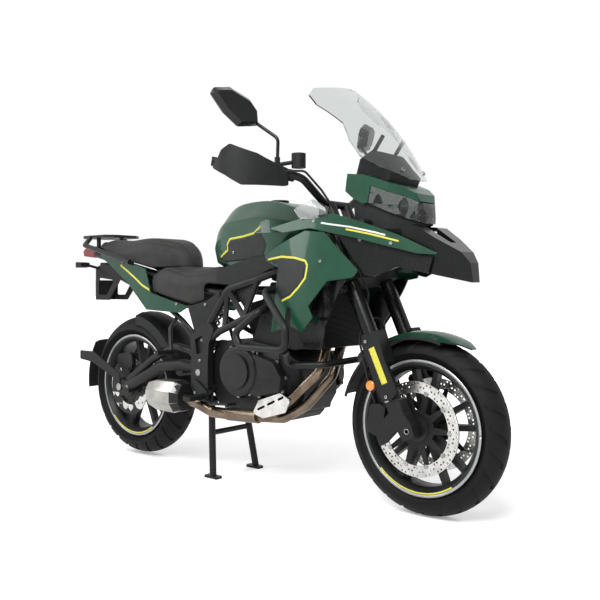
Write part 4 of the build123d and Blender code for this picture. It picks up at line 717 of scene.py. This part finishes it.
# A patch inside an outline of (x, z) places, cut into cells that follow the panel
def laidPatch(name, node, side, outline, finish, lift=0.3, cell=9.0, deepest=18):
    shape = bmesh.new()
    shape.faces.new([shape.verts.new((x, 0, z)) for x, z in outline])
    for axis in (0, 2):
        low, high = min(p[axis // 2] for p in outline), max(p[axis // 2] for p in outline)
        for i in range(1, int((high - low) / cell) + 1):
            cut = [0, 0, 0]
            cut[axis] = low + cell * i
            normal = [0, 0, 0]
            normal[axis] = 1
            whole = shape.verts[:] + shape.edges[:] + shape.faces[:]
            bmesh.ops.bisect_plane(shape, geom=whole, plane_co=cut, plane_no=normal)
    shape.verts.index_update()
    met = [castSide(node, side, v.co.x, v.co.z) for v in shape.verts]
    points = [m[0] / mm + m[1] * lift if m else Vector((0, 0, 0)) for m in met]
    faces = []
    for face in shape.faces:
        corners = [v.index for v in face.verts]
        ys = [points[c].y for c in corners]
        if all(met[c] for c in corners) and max(ys) - min(ys) < deepest:
            faces.append(corners)
    shape.free()
    return laidSheet(name, node, side, points, faces, finish, lift)


tapes = {
    "tankTape": {"node": "fuel_tank", "finish": "yellowTape", "width": 8,
                 "route": [(196, 996), (163, 971), (96, 962), (6, 956), (-21, 935), (-22, 915), (-93, 889)]},
    "fairingTape": {"node": "side_fairings", "finish": "yellowTape", "width": 8,
                    "route": [(246, 871), (334, 879), (407, 873), (455, 862), (465, 847), (462, 823),
                              (458, 802), (428, 769), (390, 738), (346, 722)]},
    "tailTape": {"node": "tail_panels", "finish": "yellowTape", "width": 9,
                 "route": [(-718, 867), (-652, 836), (-595, 808), (-541, 778), (-470, 752)]},
    "cowlWhiteTape": {"node": "upper_cowls", "finish": "whiteTape", "width": 6,
                      "route": [(500, 992), (527, 987), (616, 973), (705, 952), (740, 942)]},
    "cowlYellowTape": {"node": "upper_cowls", "finish": "yellowTape", "width": 6,
                       "route": [(600, 966), (630, 960), (681, 949), (731, 936), (785, 921)]},
}
patches = {
    "tankGraphic": {"node": "fuel_tank", "finish": "blackTape",
                    "outline": [(200, 984), (163, 964), (96, 955), (2, 949), (-28, 932), (-30, 912),
                                (-96, 884), (-60, 868), (60, 872), (190, 880), (222, 930)]},
    "fairingGraphic": {"node": "side_fairings", "finish": "blackTape",
                       "outline": [(240, 866), (334, 874), (404, 868), (448, 858), (458, 846), (452, 804),
                                   (424, 773), (386, 742), (340, 727), (300, 760), (250, 800)]},
    "guardTape": {"node": "fork_guards", "finish": "yellowTape",
                  "outline": [(710, 446), (655, 563), (677, 573), (732, 456)]},
}
rimTape = {"inner": 214, "outer": 220, "start": 225, "sweep": 80}
rimLip = {"inner": 221, "outer": 230.6, "start": 0, "end": 360}
sides = ((-1, "Right"), (1, "Left"))
for side, label in sides:
    for name, form in tapes.items():
        laidGrid(name + label, form["node"], side, bandGrid(form["route"], form["width"]), form["finish"])
    for name, form in patches.items():
        laidPatch(name + label, form["node"], side, form["outline"], form["finish"])
    for node, axle in (("front_rim", frontAxle), ("rear_rim", rearAxle)):
        centre, end = (axle[0], axle[2]), rimTape["start"] + rimTape["sweep"]
        stripe = arcGrid(centre, rimTape["inner"], rimTape["outer"], rimTape["start"], end)
        laidGrid(node + "Tape" + str(rimTape["start"]) + label, node, side, stripe, "yellowTape")
        laidGrid(node + "Lip" + label, node, side, arcGrid(centre, **rimLip), "greyTape")
print("tapes laid")


# Screws: one socket-head screw stood on every fixing of a body
screw = turnedMesh("screw", [(5, -1), (5, 3.2), (4.4, 4), (2.7, 4, 1), (2.7, 1.4, 1)])
sideFixings = {
    "side_fairings": [(300, 690), (600, 770), (520, 860)],
    "tail_panels": [(-700, 880), (-440, 745), (-300, 700)],
    "frame_covers": [(-60, 800), (-120, 700)],
    "upper_cowls": [(470, 1000), (760, 915)],
    "inner_cowls": [(640, 930), (560, 900)],
    "fork_guards": [(728, 408), (643, 588)],
    "heat_shield": [(-140, 470), (-300, 520)],
    "rear_mudguards": [(-560, 560), (-420, 560)],
    "front_fender": [(690, 560), (720, 540)],
    "fuel_tank": [(20, 905)],
    "pivot_plates": [(-120, 480), (-150, 350), (-120, 560)],
    "swingarm": [(-640, 330)],
}
coverRings = {
    "clutch": {"centre": (84, 452), "radius": 98, "face": -172, "side": -1, "count": 10, "start": 12},
    "alternator": {"centre": (226, 430), "radius": 86, "face": 170, "side": 1, "count": 8, "start": 20},
}
pumpFixings = [(172, 362), (290, 390), (304, 440), (262, 496), (160, 520)]
screenFixings = [(-118, 1150), (118, 1150), (-64, 1165), (64, 1165)]
screwScale = {"engine": 1.3, "panel": 1.2, "screen": 1.5}
fixings = {"chassis": []}
for ring in coverRings.values():
    for number in range(ring["count"]):
        turn = radians(360 / ring["count"] * number + ring["start"])
        place = Vector((ring["centre"][0] + ring["radius"] * cos(turn), ring["face"],
                        ring["centre"][1] + ring["radius"] * sin(turn)))
        fixings["chassis"].append((place * mm, Vector((0, ring["side"], 0)), screwScale["engine"]))
for x, z in pumpFixings:
    met = castSide("engine_covers", -1, x, z)
    fixings["chassis"].append((met[0], met[1], screwScale["engine"]))
for node, places in sideFixings.items():
    for x, z in places:
        for side in (-1, 1):
            met = castSide(node, side, x, z)
            if met and abs(met[1].y) > 0.5:
                fixings.setdefault(carrier[node], []).append((met[0], met[1], screwScale["panel"]))
for y, z in screenFixings:
    met = cast("windscreen", (1500, y, z), (-1, 0, 0))
    if met:
        fixings["chassis"].append((met[0], met[1], screwScale["screen"]))
for body, spots in fixings.items():
    turned = [(place, outwardTurn(normal), size) for place, normal, size in spots]
    standOn(body + "Screws", turned, screw, "bareSteel", body, 30)
print("screws stood:", sum(len(spots) for spots in fixings.values()))

# Brake rings: a pitch of two columns by three rows of staggered holes, repeated round the axle
brakeRing = {"inner": 122, "outer": 160, "offset": 66, "thick": 5, "rows": 3, "pitches": 20, "hole": 3.5,
             "shift": 0.2}


def ringPitch(inner, outer, offset, thick, rows, pitches, hole, shift):
    points, faces = [], []
    width = 2 * pi / pitches / 2
    tall = (outer - inner) / rows
    edge = [(-1 + i / 2, -1) for i in range(4)] + [(1, -1 + i / 2) for i in range(4)]
    edge += [(1 - i / 2, 1) for i in range(4)] + [(-1, 1 - i / 2) for i in range(4)]
    for side in (-1, 1):
        for column in range(2):
            for row in range(rows):
                middle, reach = (column + 0.5) * width, inner + (row + 0.5) * tall
                heart = middle + width * shift * (1 if (row + column) % 2 else -1)
                base = len(points)
                for y in (side * offset - thick / 2, side * offset + thick / 2):
                    for across, along in edge:
                        t, r = middle + across * width / 2, reach + along * tall / 2
                        points.append((r * cos(t), y, r * sin(t)))
                    for across, along in edge:
                        t = atan2(along, across)
                        r, sway = reach + hole * sin(t), hole * cos(t)
                        points.append((r * cos(heart) - sway * sin(heart), y,
                                       r * sin(heart) + sway * cos(heart)))
                for i in range(16):
                    k = (i + 1) % 16
                    faces += [[base + i, base + k, base + 16 + k, base + 16 + i],
                              [base + 32 + i, base + 32 + k, base + 48 + k, base + 48 + i],
                              [base + 16 + i, base + 16 + k, base + 48 + k, base + 48 + i]]
                    if (row == 0 and i < 4) or (row == rows - 1 and 8 <= i < 12):
                        faces.append([base + i, base + k, base + 32 + k, base + 32 + i])
    return newMesh("ringPitch", points, faces, None, outward=False)


rings = grow("brakeRings", ringPitch(**brakeRing), aroundTree, "front_wheel", 32, frontAxle,
             Count=brakeRing["pitches"], Finish=finishes["stainless"])
faceOutward(rings.data)
smoothed(rings.data, 32)
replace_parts(rings, "front_discs")
# The node's copy keeps its black carriers and leaves its rings to the drilled ones
shape = bmesh.new()
shape.from_mesh(dressed["front_discs"].data)
unseen = set(shape.verts)
while unseen:
    island, front = set(), [unseen.pop()]
    while front:
        vertex = front.pop()
        island.add(vertex)
        for link in vertex.link_edges:
            other = link.other_vert(vertex)
            if other in unseen:
                unseen.discard(other)
                front.append(other)
    nearest = min(hypot(v.co.x / mm - frontAxle[0], v.co.z / mm - frontAxle[2]) for v in island)
    if nearest > brakeRing["inner"] - 1:
        bmesh.ops.delete(shape, geom=list(island), context="VERTS")
shape.to_mesh(dressed["front_discs"].data)
shape.free()
dressed["front_discs"].data.materials[0] = finishes["castBlack"]

# Disc fixings: floating bobbins between carrier and ring
bobbins = {"count": 10, "radius": 126, "offset": 66, "size": 7.5, "face": 5, "half": 4.2, "sides": 14}
points, faces = [], []
for side in (-1, 1):
    base = len(points)
    for end, r in ((-1, "face"), (-1, "size"), (1, "size"), (1, "face")):
        for i in range(bobbins["sides"]):
            turn = 2 * pi * i / bobbins["sides"]
            points.append((bobbins["radius"] + bobbins[r] * cos(turn),
                           side * bobbins["offset"] + end * bobbins["half"], bobbins[r] * sin(turn)))
    faces += [[base + i for i in face] for face in ringFaces(4, bobbins["sides"])]
grow("discBobbins", newMesh("bobbin", points, faces, None), aroundTree, "front_wheel", 35, frontAxle,
     Count=bobbins["count"], Finish=finishes["bareSteel"])

# Mirror glasses
mirror = {"neck": (291.8, 310, 1346), "across": (-0.45, 1, 0), "out": (1, 0.45, -0.1), "share": 0.88,
          "faces": (-8.6, -9.6),
          "outline": [(-14, -12), (62, -20), (118, 24), (164, 82), (152, 104), (96, 110), (22, 76), (-8, 40)]}
across, out = Vector(mirror["across"]).normalized(), Vector(mirror["out"]).normalized()
upward = out.cross(across)
middle = [sum(p[i] for p in mirror["outline"]) / len(mirror["outline"]) for i in (0, 1)]
for side, label in sides:
    points = []
    for depth in mirror["faces"]:
        for a, b in mirror["outline"]:
            a, b = [m + (c - m) * mirror["share"] for m, c in zip(middle, (a, b))]
            p = Vector(mirror["neck"]) + across * a + upward * b + out * depth
            points.append((p.x, side * p.y, p.z))
    newPiece("mirrorGlass" + label, points, ringFaces(2, len(mirror["outline"])), "mirrorGlass",
             carrier["mirrors"])

# Dashboard: a dark display in the face turned to the rider
dash = {"low": (566, 1150), "high": (586, 1214), "half": 80, "inset": 8, "thin": 0.6}
run = Vector((dash["high"][0] - dash["low"][0], 0, dash["high"][1] - dash["low"][1])).normalized()
back = Vector((-run.z, 0, run.x))
points = []
for depth in (-dash["thin"], dash["thin"]):
    for hand, end, along in ((-1, "low", 1), (1, "low", 1), (1, "high", -1), (-1, "high", -1)):
        corner = Vector((dash[end][0], hand * dash["half"], dash[end][1]))
        points.append(tuple(corner + run * dash["inset"] * along + back * depth))
newPiece("dashDisplay", points, ringFaces(2, 4), "displayGlass", carrier["dashboard"])

# Headlamp: two bright bowls under the smoked lens
lampBowl = {"rear": (716, 52, 1044), "front": (746, 48, 1042),
            "profile": [(6, 0), (10, 3), (20, 10), (28, 20), (30, 22), (28, 22), (18, 12), (8, 5), (4, 3)]}
for side, label in sides:
    rear, front = [(x, side * y, z) for x, y, z in (lampBowl["rear"], lampBowl["front"])]
    turnedBetween("lampBowl" + label, rear, front, lampBowl["profile"], "stainless", carrier["headlight"])

# Amber reflectors beside the fork guards, placed in the fork's lean, and lenses in the rear indicators
fork = {"foot": (761.935, 282.25), "rise": 0.9063, "lean": 0.4226}
reflector = {"plate": [(-40, 176), (10, 170), (10, 196), (-40, 194)], "inner": 125, "outer": 128,
             "middle": (-27, 186), "proud": 9,
             "profile": [(17, 0), (17, 6), (14.5, 8), (3, 9)], "sides": 28}
indicator = {"x": -1026.5, "inner": 112, "outer": 155, "low": 861, "high": 883, "depths": (-3, 2)}


# A place given ahead of the fork's axis, across it and up along it
def forkPlace(ahead, across, up):
    return (fork["foot"][0] + fork["rise"] * ahead - fork["lean"] * up, across,
            fork["foot"][1] + fork["lean"] * ahead + fork["rise"] * up)


for side, label in sides:
    plate = [forkPlace(ahead, side * across, up) for across in (reflector["inner"], reflector["outer"])
             for ahead, up in reflector["plate"]]
    newPiece("reflectorBracket" + label, plate, ringFaces(2, 4), "powderBlack", "steering")
    place = Vector(forkPlace(reflector["middle"][0], side * reflector["outer"], reflector["middle"][1]))
    turnedBetween("forkReflector" + label, place, place + Vector((0, side * reflector["proud"], 0)),
                  reflector["profile"], "amberLens", "steering", reflector["sides"])
    corners = [("inner", "low"), ("outer", "low"), ("outer", "high"), ("inner", "high")]
    lens = [(indicator["x"] + depth, side * indicator[y], indicator[z]) for depth in indicator["depths"]
            for y, z in corners]
    newPiece("indicatorLens" + label, lens, ringFaces(2, 4), "amberLens", "chassis")
print("small parts set")

# Camera and light
view = {"place": (2.218, -2.313, 0.784), "yaw": 130.70, "pitch": -1.19, "lens": 47.6,
        "sensor": 36.0, "shift": 1 / 600}
camera = bpy.data.objects.new("camera", bpy.data.cameras.new("camera"))
camera.data.sensor_width, camera.data.lens, camera.data.shift_x = view["sensor"], view["lens"], view["shift"]
camera.location = view["place"]
yaw, pitch = radians(view["yaw"]), radians(view["pitch"])
looking = Vector((cos(yaw) * cos(pitch), sin(yaw) * cos(pitch), sin(pitch)))
camera.rotation_euler = looking.to_track_quat("-Z", "Y").to_euler()
bpy.context.scene.collection.objects.link(camera)
bpy.context.scene.camera = camera
bpy.context.scene.view_settings.view_transform = "Standard"

studio = {"skyLight": 0.5, "nearGlow": 0.25, "farGlow": 0.9, "nearReach": 1.4, "farReach": 4.5,
          "floorHalf": 40}
lamps = {
    "keyLamp": {"place": (1.5, -2.6, 3.2), "target": (0, 0, 0.6), "power": 180, "size": 2.4},
    "fillLamp": {"place": (-2.4, -2.6, 2.2), "target": (0, 0, 0.6), "power": 60, "size": 2.0},
    "rimLamp": {"place": (-1.0, 2.8, 2.8), "target": (0, 0, 0.7), "power": 70, "size": 2.0,
                "mirrored": False},
}


# One where the camera looks straight on, through glass or into a gloss, nought for every other ray
def seenBy(tree):
    path = addNode(tree, "ShaderNodeLightPath").outputs
    through = addNode(tree, "ShaderNodeMath", {0: path["Is Camera Ray"], 1: path["Is Transmission Ray"]},
                      operation="MAXIMUM")
    return addNode(tree, "ShaderNodeMath", {0: through.outputs["Value"], 1: path["Is Glossy Ray"]},
                   operation="MAXIMUM").outputs["Value"]


world = bpy.data.worlds.new("studio")
bpy.context.scene.world = world
world.use_nodes = True
sky = world.node_tree
sky.nodes.clear()
level = addNode(sky, "ShaderNodeMapRange",
                {"Value": seenBy(sky), "To Min": studio["skyLight"], "To Max": 1.0})
dome = addNode(sky, "ShaderNodeBackground", {"Color": (1, 1, 1, 1), "Strength": level.outputs["Result"]})
addNode(sky, "ShaderNodeOutputWorld", {"Surface": dome.outputs["Background"]})


def addLamp(name, place, target, power, size, mirrored=True):
    lamp = bpy.data.lights.new(name, "AREA")
    lamp.energy, lamp.size, lamp.shape = power, size, "DISK"
    holder = bpy.data.objects.new(name, lamp)
    holder.location = place
    holder.rotation_euler = (Vector(target) - Vector(place)).to_track_quat("-Z", "Y").to_euler()
    holder.visible_transmission, holder.visible_glossy = False, mirrored
    bpy.context.scene.collection.objects.link(holder)


for name, form in lamps.items():
    addLamp(name, **form)

# The floor is pale and glows a little to the camera, so that it meets the white sky and keeps its shadow
floorMesh = bpy.data.meshes.new("floor")
corners = [(x * studio["floorHalf"], y * studio["floorHalf"], 0) for x,
           y in ((-1, -1), (1, -1), (1, 1), (-1, 1))]
floorMesh.from_pydata(corners, [], [(0, 1, 2, 3)])
floor = bpy.data.objects.new("floor", floorMesh)
bpy.context.scene.collection.objects.link(floor)
floorFinish, floorTree, floorShader, floorPlace = newFinish("paleStudioFloor", Roughness=0.9,
                                                            Specular_IOR_Level=0.1)
floorShader.inputs["Base Color"].default_value = hexColour("#f2f2f2")
floorShader.inputs["Emission Color"].default_value = (1, 1, 1, 1)
away = addNode(floorTree, "ShaderNodeVectorMath", {0: floorPlace}, operation="LENGTH")
reach = addNode(floorTree, "ShaderNodeMapRange",
                {"Value": away.outputs["Value"], "From Min": studio["nearReach"],
                 "From Max": studio["farReach"],
                 "To Min": studio["nearGlow"], "To Max": studio["farGlow"]})
glow = addNode(floorTree, "ShaderNodeMath", {0: seenBy(floorTree), 1: reach.outputs["Result"]},
               operation="MULTIPLY")
floorTree.links.new(glow.outputs["Value"], floorShader.inputs["Emission Strength"])
floorMesh.materials.append(floorFinish)
print("camera and light set")
